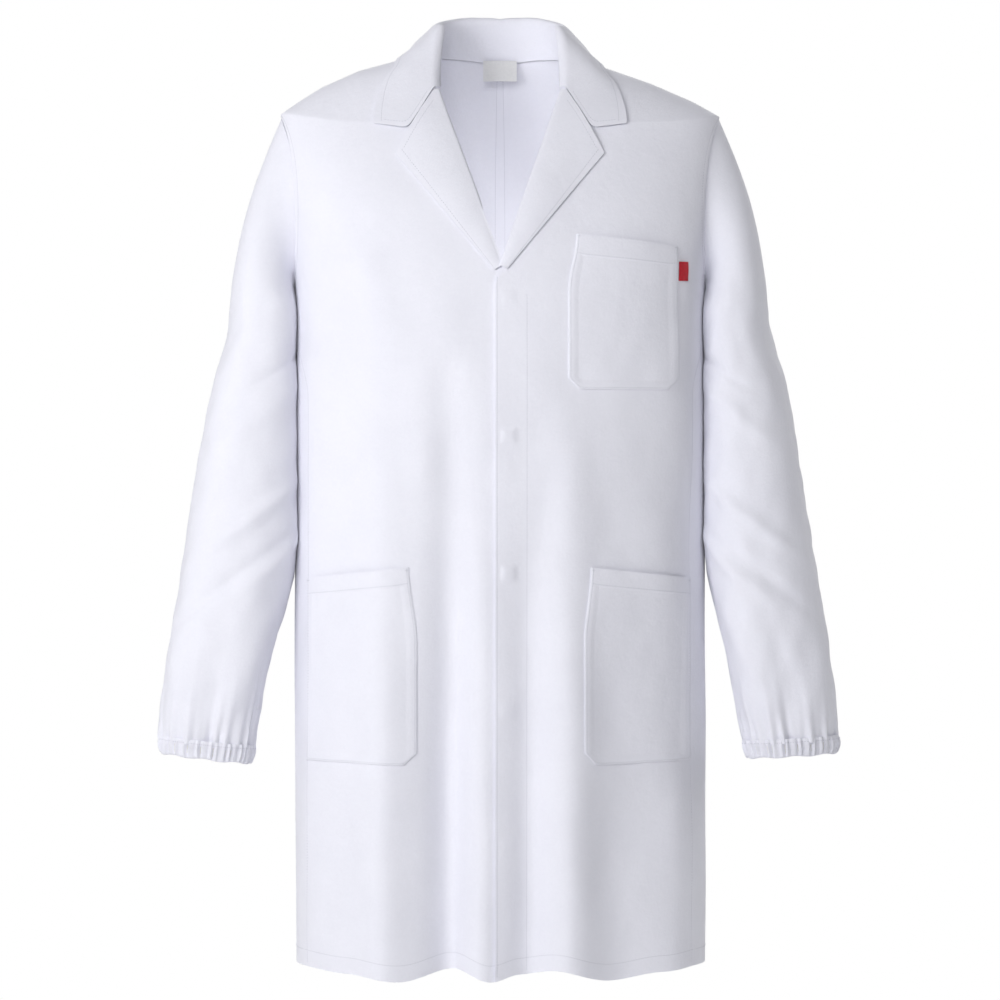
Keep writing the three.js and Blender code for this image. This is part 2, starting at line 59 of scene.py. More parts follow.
# Driving sizes of the coat, in mm.
NECK_X, NECK_Z = 75, 8
SHOULDER_X, SHOULDER_Z = 233, -63
ARMHOLE_HALF, FRONT_DEPTH, BACK_DEPTH = 88, 47, 60
ARMHOLE_Z = SHOULDER_Z - ARMHOLE_HALF
ARMPIT_Z = ARMHOLE_Z - ARMHOLE_HALF
HEM_Z = -961
BREAK_Z = -222
GORGE_X, GORGE_Z = 70, -27
NOTCH_X, NOTCH_Z = 96, -70
LAPEL_X, LAPEL_Z = 109, -97
FOLD_Z = -366
SIDE_SEAM_X = 204
CLOSING_X, OVERLAP = 9, 14
CLOTH = 0.8
FACING_UNDER, FLY_UNDER, INNER_PLY = 1.1, 2.1, 0.6  # depths under a front, and their thickness
NECK_EDGE_Z = NECK_Z - 1
NECK_DIP = 9  # how much lower the neck is in the middle of the back
HEM_DEPTH = 17
CUFF_Z, CUFF_HEIGHT = -727, 18
SNAPS = [-250 - 143 * k for k in range(5)]
SNAP_BUMPS = [0.7, 2.0, 2.0, 0.8, 0.8]
STEP = 3.0  # spacing of the grids
PANEL_COLUMNS = 76
SEAM_TUCK = 1.5  # how far a sleeve reaches under the foot of the armhole and past its top


# ---- curves and the body form


def curve(rows):
    """A smooth curve through a table whose first column is its parameter."""
    table = np.array(rows, float)
    knots, values = table[:, 0], table[:, 1:]
    secant = np.diff(values, axis=0) / np.diff(knots)[:, None]
    slope = np.zeros_like(values)
    slope[1:-1] = (secant[:-1] + secant[1:]) / 2

    def at(t):
        t = np.clip(np.asarray(t, float), knots[0], knots[-1])
        i = np.clip(np.searchsorted(knots, t, side="right") - 1, 0, len(knots) - 2)
        h = (knots[i + 1] - knots[i])[..., None]
        p = (t - knots[i])[..., None] / h
        return (
            (2 * p**3 - 3 * p**2 + 1) * values[i]
            + (p**3 - 2 * p**2 + p) * h * slope[i]
            + (3 * p**2 - 2 * p**3) * values[i + 1]
            + (p**3 - p**2) * h * slope[i + 1]
        )

    return at


def smooth(x, low, high):
    t = np.clip((np.asarray(x, float) - low) / (high - low), 0, 1)
    return t * t * (3 - 2 * t)


def lerp(a, b, t):
    return a + (b - a) * t


def points(x, y, z):
    return np.stack(np.broadcast_arrays(x, y, z), -1).astype(float)


def unit(v):
    return v / np.maximum(np.linalg.norm(v, axis=-1, keepdims=True), 1e-9)


# Rows of height, half width, depth in front, depth behind and squareness.
section = curve(
    [
        [HEM_Z, 218.5, 131, 115, 2.5],
        [FOLD_Z, 217.5, 131, 115, 2.5],
        [ARMPIT_Z, 217, 125, 118, 2.7],
        [ARMHOLE_Z, 224, 108, 115, 2.8],
        [ARMHOLE_Z + 0.55 * ARMHOLE_HALF, 229, 89, 105, 2.8],
        [SHOULDER_Z, SHOULDER_X, 72, 92, 2.6],
        [lerp(SHOULDER_Z, NECK_Z, 0.46), SHOULDER_X, 56, 78, 2.4],
        [NECK_Z, NECK_X, 40, 60, 2.2],
    ]
)

NARROWEST = 20


def section_at(z):
    z = np.asarray(z, float)
    half, front, back, square = np.moveaxis(section(np.maximum(z, FOLD_Z)), -1, 0)
    run = (SHOULDER_X - NECK_X) / (NECK_Z - SHOULDER_Z)
    sloped = np.maximum(NARROWEST, NECK_X + (NECK_Z - z) * run)
    return np.where(z > SHOULDER_Z, sloped, half), front, back, square


def form(t, z):
    """The body form at an angle t round it: 0 at the front, +-90 degrees at the sides."""
    t, z = np.broadcast_arrays(np.asarray(t, float), np.asarray(z, float))
    half, front, back, square = section_at(z)
    s = np.abs(np.sin(t)) / half
    c = np.abs(np.cos(t)) / np.where(np.cos(t) >= 0, front, back)
    r = (s**square + c**square) ** (-1 / square)
    return points(r * np.sin(t), -r * np.cos(t), z)


def form_normal(t, z):
    across = form(t + 2e-3, z) - form(t - 2e-3, z)
    up = form(t, z + 0.5) - form(t, z - 0.5)
    return unit(np.cross(across, up))


def angle_at_x(x, z):
    half, front, _, square = section_at(z)
    share = np.clip(np.abs(x) / half, 0, 1)
    return np.arctan2(x, front * (1 - share**square) ** (1 / square))


def angle_at_depth(depth, z, back):
    half, front, rear, square = section_at(z)
    share = np.clip(depth / np.where(back, rear, front), 0, 1)
    x = half * (1 - share**square) ** (1 / square)
    return np.arctan2(x, np.where(back, -1, 1) * depth)


# ---- how the cloth hangs


def ripple(p, length, stretch, seed, waves=9):
    """Soft unevenness of about this wavelength, drawn out vertically."""
    rng = np.random.default_rng(seed)
    total = 0
    for _ in range(waves):
        way = unit(rng.normal(size=3)) * rng.uniform(0.7, 1.5)
        way[2] /= stretch
        total = total + np.sin(p @ way * (2 * math.pi / length) + rng.uniform(0, 6.28))
    return total / math.sqrt(waves / 2)


# Folds of the skirt: x at the top and at the hem, width, and how far each stands out at a height.
FRONT_FOLDS = [
    (-122, -120, 27, [(-961, 17), (-700, 14), (-500, 6), (-330, 0)]),
    (-52, -54, 21, [(-961, -26), (-760, -22), (-600, -15), (-420, -7), (-300, 0)]),
    (-20, -20, 18, [(-961, 7), (-600, 4), (-420, 0)]),
    (30, 31, 19, [(-961, -13), (-700, -10), (-540, -4), (-440, 0)]),
    (72, 74, 27, [(-961, 17), (-700, 13), (-450, 6), (-330, 0)]),
    (134, 136, 34, [(-961, -9), (-700, -7), (-400, -2), (-300, 0)]),
    (182, 186, 16, [(-961, 3), (-800, 2), (-700, 0)]),
]
BACK_FOLDS = [
    (-150, -160, 30, [(-961, 8), (-700, 5), (-420, 0)]),
    (-92, -100, 26, [(-961, -10), (-700, -7), (-400, 0)]),
    (-38, -44, 30, [(-961, 8), (-700, 5), (-450, 0)]),
    (30, 34, 26, [(-961, -9), (-700, -6), (-420, 0)]),
    (88, 96, 32, [(-961, 9), (-700, 6), (-420, 0)]),
    (150, 158, 24, [(-961, -8), (-700, -4), (-480, 0)]),
]
# Folds that pull across the upper body: two ends (x, z), width and height.
FRONT_DRAGS = [
    (-150, -180, -115, -320, 26, 2.6),
    (-205, -262, -150, -330, 16, 2.4),
    (205, -262, 165, -350, 16, 2.0),
    (-196, -205, -120, -225, 13, 1.6),
    (196, -205, 150, -232, 13, 1.2),
    (-60, -300, -54, -470, 20, -2.6),
    (60, -400, 40, -560, 16, -1.6),
]
BACK_DRAGS = [
    (-190, -230, -90, -300, 22, 3.0),
    (190, -236, 100, -310, 22, 3.0),
    (-150, -90, -60, -150, 30, 2.2),
    (150, -92, 56, -146, 30, 2.2),
    (-60, -330, 60, -350, 26, -2.0),
    (-120, -420, 40, -446, 22, 2.0),
]


def hanging(x, z, folds, drags):
    total = 0
    for top, foot, width, heights in folds:
        zs, amounts = zip(*heights)
        middle = lerp(top, foot, smooth(-z, 300, 961))
        total = total + np.interp(z, zs, amounts) * np.exp(-(((x - middle) / width) ** 2))
    for x0, z0, x1, z1, width, amount in drags:
        dx, dz = x1 - x0, z1 - z0
        length = math.hypot(dx, dz)
        along = ((x - x0) * dx + (z - z0) * dz) / length**2
        off = ((x - x0) * dz - (z - z0) * dx) / length
        ends = smooth(along, -0.15, 0.3) * (1 - smooth(along, 0.6, 1.15))
        total = total + amount * ends * np.exp(-((off / width) ** 2))
    return total


# Soft unevenness: the height, length, stretch and seed of each ripple.
LOOSE_WAVES = [(1.4, 150, 2.2, 3), (0.8, 70, 2.0, 5)]
FINE_WAVES = [(0.13, 34, 1.8, 8), (0.03, 15, 1.3, 9)]
# Where, across the coat, the folds end and the side seams hold the cloth.
FOLDS_END, SIDE_HOLDS = (182, 212), (196, 214)


def uneven(p, waves):
    return sum(height * ripple(p, *wave) for height, *wave in waves)


def drape(p):
    """How far the hanging cloth stands out from the form at a point of it."""
    x, y, z = np.moveaxis(p, -1, 0)
    inside = 1 - smooth(np.abs(x), *FOLDS_END)
    front = hanging(x, z, FRONT_FOLDS, FRONT_DRAGS)
    back = hanging(x, z, BACK_FOLDS, BACK_DRAGS)
    loose = smooth(-z, 60, 420)
    crease = 0.4 + 0.6 * smooth(np.abs(ripple(p, 240, 1.0, 11)), 0.2, 1.2)
    folded = np.where(y < 0, front, back) * inside
    held = 1 - 0.75 * smooth(np.abs(x), *SIDE_HOLDS)
    waves = uneven(p, LOOSE_WAVES) * loose * 0.9 * held
    return folded + waves + uneven(p, FINE_WAVES) * crease * smooth(-z, 30, 160) * held


# Where the hem turns between its waves, and how far it has risen there in front and behind.
HEM_WAVE = [-212, -160, -105, -48, -9.5, 20, 58, 115, 170, 212]
HEM_RISE = [11, 6, 0, 12, 0, 7, 12, 0, 7, 11]
BACK_RISE = [11, 3, 9, 1, 6, 8, 2, 10, 4, 11]


def settle(p):
    """Lifts the skirt's foot between its folds, so that the hem runs in waves."""
    x, y, z = np.moveaxis(p, -1, 0)
    share = np.interp(x, HEM_WAVE, np.arange(len(HEM_WAVE)))
    step = np.minimum(np.floor(share).astype(int), len(HEM_WAVE) - 2)
    t = share - step
    t = t * t * (3 - 2 * t)
    front, back = np.array(HEM_RISE, float), np.array(BACK_RISE, float)
    ahead, behind = (lerp(row[step], row[step + 1], t) for row in (front, back))
    rise = np.where(y < 0, ahead, behind)
    q = p.copy()
    q[..., 2] += rise * smooth(-z, 620, 961)
    return q


# The shoulders' rise at each distance from the middle.
CROWN = [
    [-310, -270, -233, -212, -190, -150, -110, -75, -40, 0, 40, 75, 110, 160, 205, 233, 270, 310],
    [0, 7, 13, 18, 22, 22, 15, 7, 10, 11, 10, 5, 8, 13, 13.5, 10.5, 5, 0],
]


def crown(p):
    """Rounds the shoulders, which rise between the neck and the sleeve."""
    x, y, z = np.moveaxis(p, -1, 0)
    rise = np.interp(x, *CROWN)
    q = p.copy()
    q[..., 2] += rise * smooth(z, -240, -60) * smooth(y, -70, -14)
    return q


def bumps(x, z):
    """The cloth stands out over each snap."""
    total = 0
    for height, amount in zip(SNAPS, SNAP_BUMPS):
        r = np.maximum(np.abs(x - CLOSING_X), np.abs(z - height))
        total = total + amount * (1 - smooth(r, 3.5, 10.0))
    return total


def coat(t, z, off=0.0):
    """A point of the hanging cloth, a distance off the form, and the normal there."""
    p, n = form(t, z), form_normal(t, z)
    return crown(settle(p + n * (drape(p) + off)[..., None])), n


RISE = 3.4  # how far the left front stands up at the closing, to lie over the right one
RISE_ENDS = (26, 85)


def lift(x, side):
    return RISE * (1 - smooth(x, *RISE_ENDS)) if side > 0 else np.zeros_like(np.asarray(x, float))


def raised(side, x, z):
    """How far a front stands up over what it covers."""
    return lift(x, side) + (bumps(x, z) if side > 0 else 0)


ROLL_X = 2.5  # where the roll lines of the two lapels cross
ROLL_RUN = 14  # how far below the break a front's edge has come back to its closed line


def front_edge(side, z):
    z = np.asarray(z, float)
    closing = CLOSING_X - side * OVERLAP
    crossing = ROLL_X - side * 1.5
    roll = lerp(crossing, side * GORGE_X, (z - BREAK_Z) / (GORGE_Z - BREAK_Z))
    neck = side * lerp(GORGE_X, NECK_X - 4, (z - GORGE_Z) / (NECK_Z - GORGE_Z))
    closed = lerp(closing, crossing, smooth(z, BREAK_Z - ROLL_RUN, BREAK_Z))
    return np.where(z <= BREAK_Z, closed, np.where(z <= GORGE_Z, roll, neck))


def outer_angle(z, back):
    z = np.asarray(z, float)
    inside = np.clip(1 - ((z - ARMHOLE_Z) / ARMHOLE_HALF) ** 2, 0, 1)
    hole = angle_at_depth((BACK_DEPTH if back else FRONT_DEPTH) * np.sqrt(inside), z, back)
    seam = lerp(math.pi / 2, angle_at_x(SIDE_SEAM_X, z), smooth(-z, -ARMPIT_Z, -FOLD_Z - 15))
    return np.where(z >= SHOULDER_Z, math.pi / 2, np.where(z > ARMPIT_Z, hole, seam))


# ---- meshes


def facing_out(vertices, faces):
    """A closed mesh's four-sided faces, turned over if they face inwards."""
    corner = vertices[faces]
    volume = (corner[:, 0] * np.cross(corner[:, 1], corner[:, 2])).sum()
    volume += (corner[:, 0] * np.cross(corner[:, 2], corner[:, 3])).sum()
    return faces[:, ::-1] if volume < 0 else faces


def ring_faces(around, along):
    """Faces of a closed profile of this many points carried round a ring."""
    i, j = np.meshgrid(np.arange(around), np.arange(along), indexing="ij")
    ahead, up = (i + 1) % around, (j + 1) % along
    corners = [i * along + j, ahead * along + j, ahead * along + up, i * along + up]
    return np.stack(corners, -1).reshape(-1, 4)


def finish_mesh(name, vertices, faces, uv, material, edge=50):
    mesh = bpy.data.meshes.new(name)
    mesh.from_pydata((vertices * MM).tolist(), [], faces.tolist())
    if uv is not None:
        layer = mesh.uv_layers.new(name="UVMap")
        corner = np.empty(len(mesh.loops), int)
        mesh.loops.foreach_get("vertex_index", corner)
        layer.data.foreach_set("uv", (uv[corner] * MM).astype(np.float32).ravel())
    mesh.shade_smooth()
    mesh.set_sharp_from_angle(angle=math.radians(edge))
    mesh.materials.append(material)
    obj = bpy.data.objects.new(name, mesh)
    bpy.context.scene.collection.objects.link(obj)
    return obj


def grid_uv(grid):
    """Distances along a grid's rows and columns, in mm."""
    across = np.linalg.norm(np.diff(grid, axis=1), axis=-1).mean(0)
    down = np.linalg.norm(np.diff(grid, axis=0), axis=-1).mean(1)
    u = np.concatenate([[0], np.cumsum(across)])
    v = np.concatenate([[0], np.cumsum(down)])
    return np.stack(np.meshgrid(u, v), -1)


def sheet(name, outer, inner, material, closed=False):
    """A closed sheet between two grids of points."""
    rows, columns = outer.shape[:2]
    ids = np.arange(2 * rows * columns).reshape(2, rows, columns)
    if closed:
        ids = np.concatenate([ids, ids[:, :, :1]], 2)
    a, b = ids

    def quads(p, q, r, s):
        return np.stack([p.ravel(), q.ravel(), r.ravel(), s.ravel()], -1)

    faces = [
        quads(a[:-1, :-1], a[:-1, 1:], a[1:, 1:], a[1:, :-1]),
        quads(b[:-1, :-1], b[1:, :-1], b[1:, 1:], b[:-1, 1:]),
        quads(a[0, 1:], a[0, :-1], b[0, :-1], b[0, 1:]),
        quads(a[-1, :-1], a[-1, 1:], b[-1, 1:], b[-1, :-1]),
    ]
    if not closed:
        faces.append(quads(a[:-1, 0], a[1:, 0], b[1:, 0], b[:-1, 0]))
        faces.append(quads(a[1:, -1], a[:-1, -1], b[:-1, -1], b[1:, -1]))
    vertices = np.concatenate([outer.reshape(-1, 3), inner.reshape(-1, 3)])
    faces = facing_out(vertices, np.concatenate(faces))
    uv = np.tile(grid_uv(outer).reshape(-1, 2), (2, 1))
    return finish_mesh(name, vertices, faces, uv, material)


def grid_normals(grid):
    across = np.gradient(grid, axis=1)
    down = np.gradient(grid, axis=0)
    return unit(np.cross(across, down))


stitches = {}


def sew(pile, line, normals, pitch=3.0, length=2.3, width=0.7, height=0.42):
    """Adds stitches along a line of surface points to a pile, made into one mesh later."""
    line, normals = np.asarray(line, float), np.asarray(normals, float)
    run = np.concatenate([[0], np.cumsum(np.linalg.norm(np.diff(line, axis=0), axis=1))])
    count = int(run[-1] / pitch)
    if count < 1:
        return
    middle = (np.arange(count) + 0.5) * run[-1] / count

    def at(s, values):
        return np.stack([np.interp(s, run, values[:, k]) for k in range(3)], -1)

    start, centre, end = (at(middle + k * length / 2, line) for k in (-1, 0, 1))
    n = unit(at(middle, normals))
    side = unit(np.cross(end - start, n))
    group = [
        start,
        end,
        centre + side * width / 2 + n * height * 0.3,
        centre + n * height,
        centre - side * width / 2 + n * height * 0.3,
        centre - n * 0.25,
    ]
    stitches.setdefault(pile, []).append(np.stack(group, 1))


def make_stitches(pile, material):
    block = np.concatenate(stitches[pile])
    faces = []
    for a, b in ((2, 3), (3, 4), (4, 5), (5, 2)):
        faces += [(0, a, b), (1, b, a)]
    faces = np.array(faces)[None] + 6 * np.arange(len(block))[:, None, None]
    name = "stitches_" + pile
    return finish_mesh(name, block.reshape(-1, 3), faces.reshape(-1, 3), None, material)


# ---- materials


def new_material(name):
    material = bpy.data.materials.new(name)
    material.use_nodes = True
    return material, material.node_tree, material.node_tree.nodes["Principled BSDF"]


def node(tree, kind, **values):
    made = tree.nodes.new(kind)
    for key, value in values.items():
        if hasattr(made, key):
            setattr(made, key, value)
        else:
            made.inputs[key.replace("_", " ")].default_value = value
    return made


WAVE_BAND = 2 * math.pi / 20  # the width of a wave texture's band at a scale of 1


def bands(tree, direction, pitch, distortion):
    """Parallel threads this far apart, in mm."""
    made = node(tree, "ShaderNodeTexWave", wave_type="BANDS", bands_direction=direction)
    made.inputs["Scale"].default_value = WAVE_BAND / (pitch * MM)
    made.inputs["Distortion"].default_value = distortion
    return made


def woven(name, light, dark, thread=0.55, rough=0.82, sheen=0.25, wrinkle=0.5, weave=0.2):
    """Cloth of fine twill threads, in mm, with faint clouding and small wrinkles."""
    material, tree, shader = new_material(name)
    link = tree.links.new
    where = node(tree, "ShaderNodeTexCoord")
    clouds = node(tree, "ShaderNodeTexNoise", Scale=14.0, Detail=4.0, Roughness=0.6)
    link(where.outputs["Object"], clouds.inputs["Vector"])
    slubs = node(tree, "ShaderNodeTexNoise", Scale=420.0, Detail=2.0, Roughness=0.5)
    link(where.outputs["Object"], slubs.inputs["Vector"])
    both = node(tree, "ShaderNodeMath", operation="MULTIPLY_ADD")
    link(clouds.outputs["Fac"], both.inputs[0])
    both.inputs[1].default_value = 0.6
    scaled = node(tree, "ShaderNodeMath", operation="MULTIPLY")
    link(slubs.outputs["Fac"], scaled.inputs[0])
    scaled.inputs[1].default_value = 0.4
    link(scaled.outputs[0], both.inputs[2])
    ramp = node(tree, "ShaderNodeValToRGB")
    for element, place, colour in zip(ramp.color_ramp.elements, (0.35, 0.62), (dark, light)):
        element.position, element.color = place, (*colour, 1)
    link(both.outputs[0], ramp.inputs["Fac"])
    link(ramp.outputs["Color"], shader.inputs["Base Color"])

    twill = bands(tree, "DIAGONAL", thread, 0.4)
    warp = bands(tree, "X", 0.6 * thread, 0.6)
    for texture in (twill, warp):
        link(where.outputs["UV"], texture.inputs["Vector"])
    threads = node(tree, "ShaderNodeMath", operation="ADD")
    link(twill.outputs["Fac"], threads.inputs[0])
    link(warp.outputs["Fac"], threads.inputs[1])
    small = node(tree, "ShaderNodeTexNoise", Scale=90.0, Detail=5.0, Roughness=0.62)
    link(where.outputs["Object"], small.inputs["Vector"])
    creased = node(tree, "ShaderNodeBump", Strength=wrinkle, Distance=0.0012)
    link(small.outputs["Fac"], creased.inputs["Height"])
    bumped = node(tree, "ShaderNodeBump", Strength=weave, Distance=0.00018)
    link(threads.outputs[0], bumped.inputs["Height"])
    link(creased.outputs["Normal"], bumped.inputs["Normal"])
    link(bumped.outputs["Normal"], shader.inputs["Normal"])
    spread = node(tree, "ShaderNodeMapRange")
    link(slubs.outputs["Fac"], spread.inputs["Value"])
    spread.inputs["To Min"].default_value = rough - 0.06
    spread.inputs["To Max"].default_value = rough + 0.08
    link(spread.outputs["Result"], shader.inputs["Roughness"])
    shader.inputs["Sheen Weight"].default_value = sheen
    shader.inputs["Sheen Roughness"].default_value = 0.45
    shader.inputs["Specular IOR Level"].default_value = 0.25
    return material


def moulded(name, colour):
    """Snap plastic with a faint moulded grain."""
    material, tree, shader = new_material(name)
    where = node(tree, "ShaderNodeTexCoord")
    grain = node(tree, "ShaderNodeTexNoise", Scale=900.0, Detail=3.0)
    tree.links.new(where.outputs["Object"], grain.inputs["Vector"])
    ramp = node(tree, "ShaderNodeValToRGB")
    ramp.color_ramp.elements[0].color = (*[0.94 * c for c in colour], 1)
    ramp.color_ramp.elements[1].color = (*colour, 1)
    tree.links.new(grain.outputs["Fac"], ramp.inputs["Fac"])
    tree.links.new(ramp.outputs["Color"], shader.inputs["Base Color"])
    bump = node(tree, "ShaderNodeBump", Strength=0.15, Distance=0.0001)
    tree.links.new(grain.outputs["Fac"], bump.inputs["Height"])
    tree.links.new(bump.outputs["Normal"], shader.inputs["Normal"])
    shader.inputs["Roughness"].default_value = 0.34
    return material


WHITE = (0.85, 0.852, 0.925)
cotton = woven("white_twill", WHITE, (0.82, 0.822, 0.898))
ribbed = woven("gathered_twill", WHITE, (0.79, 0.792, 0.87), wrinkle=0.8)
THREAD = dict(thread=0.2, wrinkle=0.1)
TAPE = dict(thread=0.3, wrinkle=0.1, weave=0.6)
WEB = dict(thread=0.8, wrinkle=0.3, weave=0.8)
# The stitching thread is painted grey, darker than the white cloth, as painted shade of the small
# grooves where the stitches pull the cloth in, so the stitched lines read as faint dark lines.
thread_painted_shade = woven("thread_painted_groove_shade", (0.60, 0.61, 0.68), (0.54, 0.55, 0.62), **THREAD)
tape_white = woven("label_tape", (0.88, 0.88, 0.88), (0.82, 0.82, 0.83), **TAPE)
tape_red = woven("red_tape", (0.62, 0.012, 0.03), (0.45, 0.008, 0.02), **TAPE)
web = woven("elastic_web", (0.80, 0.79, 0.76), (0.70, 0.69, 0.66), **WEB)
plastic = moulded("snap_plastic", (0.87, 0.87, 0.85))


# ---- camera and light


def add_object(name, data):
    obj = bpy.data.objects.new(name, data)
    bpy.context.scene.collection.objects.link(obj)
    return obj


def aim(obj, place, target):
    obj.location = place
    away = np.array(place, float) - np.array(target, float)
    obj.rotation_euler = Vector(away).to_track_quat("Z", "Y").to_euler()


EYE_DISTANCE, EYE_Z = 5.0, -0.460
VIEW_WIDTH = 1.05  # how much of the plane of the coat's front the camera takes in
FRONT_Y = -0.08
SENSOR = 36
camera = add_object("camera", bpy.data.cameras.new("camera"))
camera.data.sensor_width = SENSOR
camera.data.lens = SENSOR * EYE_DISTANCE / VIEW_WIDTH
aim(camera, (0, FRONT_Y - EYE_DISTANCE, EYE_Z), (0, 0, EYE_Z))
bpy.context.scene.camera = camera


def area_light(name, place, target, size, power):
    data = bpy.data.lights.new(name, "AREA")
    data.shape, data.size, data.energy = "DISK", size, power
    light = add_object(name, data)
    aim(light, place, target)
    return light


CHEST_PLACE = (0, 0, -0.4)
area_light("key", (-1.15, -1.6, 0.05), CHEST_PLACE, 1.0, 17.5)
area_light("front", (-0.3, -4.2, 1.1), CHEST_PLACE, 1.4, 47)
area_light("right_edge", (2.4, 0.6, 0.2), (0.2, 0, -0.45), 1.6, 16)
area_light("left_edge", (-2.4, 1.3, 0.2), (-0.2, 0, -0.45), 1.6, 8)
area_light("back", (0.5, 2.6, 1.2), (0, 0, -0.3), 2.4, 50)
# White cloth lets light through, which this stands for inside the neck.
neck_light = area_light("neck", (0, -0.04, -0.24), (0, 0.11, -0.15), 0.10, 0.18)
neck_light.visible_camera = False

BRIGHT_SIDE, DIM_SIDE = 0.50, 0.06
world = bpy.data.worlds.new("studio")
bpy.context.scene.world = world
world.use_nodes = True
tree = world.node_tree
sky = tree.nodes["Background"]
sky.inputs["Color"].default_value = (0.98, 0.98, 1.0, 1)
# The studio is brighter on the wearer's right, where the key light stands.
direction = node(tree, "ShaderNodeTexCoord")
split = node(tree, "ShaderNodeSeparateXYZ")
tree.links.new(direction.outputs["Generated"], split.inputs[0])
sideways = node(tree, "ShaderNodeMapRange")
tree.links.new(split.outputs["X"], sideways.inputs["Value"])
sideways.inputs["From Min"].default_value = -1
sideways.inputs["To Min"].default_value = BRIGHT_SIDE
sideways.inputs["To Max"].default_value = DIM_SIDE
tree.links.new(sideways.outputs["Result"], sky.inputs["Strength"])
backdrop = node(tree, "ShaderNodeBackground")
backdrop.inputs["Color"].default_value = (1, 1, 1, 1)
backdrop.inputs["Strength"].default_value = 1.0
seen = node(tree, "ShaderNodeLightPath")
choose = node(tree, "ShaderNodeMixShader")
tree.links.new(seen.outputs["Is Camera Ray"], choose.inputs[0])
tree.links.new(sky.outputs[0], choose.inputs[1])
tree.links.new(backdrop.outputs[0], choose.inputs[2])
tree.links.new(choose.outputs[0], tree.nodes["World Output"].inputs["Surface"])
bpy.context.scene.view_settings.view_transform = "Standard"

FLOOR_Z = -1.35
FLOOR_RADIUS = 2.6
floor_material, _, floor_shader = new_material("studio_floor")
floor_shader.inputs["Base Color"].default_value = (0.86, 0.86, 0.86, 1)
floor_shader.inputs["Roughness"].default_value = 0.9
turn = np.linspace(0, 2 * math.pi, 96, endpoint=False)
rim = points(np.cos(turn), np.sin(turn), 0) * FLOOR_RADIUS + [0, 0, FLOOR_Z]
floor_mesh = bpy.data.meshes.new("floor")
floor_mesh.from_pydata(rim.tolist(), [], [list(range(len(turn)))])
floor_mesh.materials.append(floor_material)
add_object("floor", floor_mesh)


# ---- panels

SIDES = (("left", 1), ("right", -1))


def heights(low, high, step=STEP):
    return np.linspace(high, low, max(2, int((high - low) / step) + 1))


armhole_q = np.linspace(0, math.pi, 75)
chest_rows = np.concatenate(
    [
        heights(SHOULDER_Z, NECK_EDGE_Z, 1.4),
        (ARMHOLE_Z + ARMHOLE_HALF * np.cos(armhole_q))[1:],
    ]
)
all_rows = np.concatenate([chest_rows, heights(HEM_Z, ARMPIT_Z)[1:]])


def front_place(side, u, z):
    """The angle of a front at a share u of the way from its inner edge to its outer one."""
    inner = angle_at_x(front_edge(side, z), z)
    return lerp(inner, side * outer_angle(z, False), u)


def front_grid(side, us, zs, off):
    u, z = np.meshgrid(us, zs)
    t = front_place(side, u, z)
    return coat(t, z, raised(side, form(t, z)[..., 0], z) + off)[0]


def hem_fold(z, depth=0.9):
    """The hem is folded up inside, so the cloth is thicker below its stitching."""
    return -depth * smooth(-z, -HEM_Z - HEM_DEPTH - 2, -HEM_Z - HEM_DEPTH)


def hinge(obj):
    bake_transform(obj)


def ride_front(obj, name, *nodes):
    hinge(obj)
    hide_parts(*nodes)


def ride_coat(obj, *nodes):
    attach(obj, "coat")
    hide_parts(*nodes)


FACING_SHARE, FLY_SHARE = 0.24, 0.12  # of a front's width
FELL_HALF, FELL_HEIGHT = (5.6, 7.0), 0.45  # the felled seam down the back: its edge and height

for name, side in SIDES:
    us = np.linspace(0, 1, PANEL_COLUMNS)
    u, z = np.meshgrid(us, all_rows)
    outer = front_grid(side, us, all_rows, CLOTH)
    inner = front_grid(side, us, all_rows, hem_fold(z))
    panel = sheet("front_panel_" + name, outer, inner, cotton)
    ride_front(panel, name, f"front_{name}_chest", f"front_{name}_skirt")

    facing_us = np.linspace(0, FACING_SHARE, 24)
    outer = front_grid(side, facing_us, all_rows, -FACING_UNDER)
    inner = front_grid(side, facing_us, all_rows, -FACING_UNDER - INNER_PLY)
    facing = sheet("facing_panel_" + name, outer, inner, cotton)
    ride_front(facing, name, f"facing_{name}_chest", f"facing_{name}_skirt")

    u, v = np.meshgrid(us, all_rows)
    z = v - NECK_DIP * (1 - u) ** 2 * smooth(v, SHOULDER_Z, NECK_Z)
    t = side * lerp(math.pi, outer_angle(z, True), u)
    x = form(t, z)[..., 0]
    felled = FELL_HEIGHT * (1 - smooth(np.abs(x), *FELL_HALF))
    outer, _ = coat(t, z, CLOTH + felled)
    inner, _ = coat(t, z, hem_fold(z) - felled)
    back = sheet("back_panel_" + name, outer, inner, cotton)
    ride_coat(back, "back_" + name)

fly_rows = np.concatenate([[BREAK_Z - 8], all_rows[all_rows < BREAK_Z - 9]])
fly_us = np.linspace(0, FLY_SHARE, 12)
outer = front_grid(1, fly_us, fly_rows, -FLY_UNDER)
inner = front_grid(1, fly_us, fly_rows, -FLY_UNDER - INNER_PLY)
fly = sheet("fly_panel", outer, inner, cotton)
ride_front(fly, "left", "fly_chest", "fly_skirt")


# ---- snaps


def turned(name, profile, place, material, segments=32):
    """A ring of a closed profile of (radius, height) round a place and its normal."""
    p, n = place
    e1 = unit(np.cross([0, 0, 1], n))
    e2 = np.cross(n, e1)
    q = np.linspace(0, 2 * math.pi, segments, endpoint=False)
    profile = np.array(profile, float)
    r, h = profile[:, 0], profile[:, 1]
    spokes = np.cos(q)[:, None] * e1 + np.sin(q)[:, None] * e2
    vertices = p + spokes[:, None] * r[None, :, None] + n * h[None, :, None]
    vertices = vertices.reshape(-1, 3)
    faces = facing_out(vertices, ring_faces(segments, len(profile)))
    return finish_mesh(name, vertices, faces, None, material, 35)


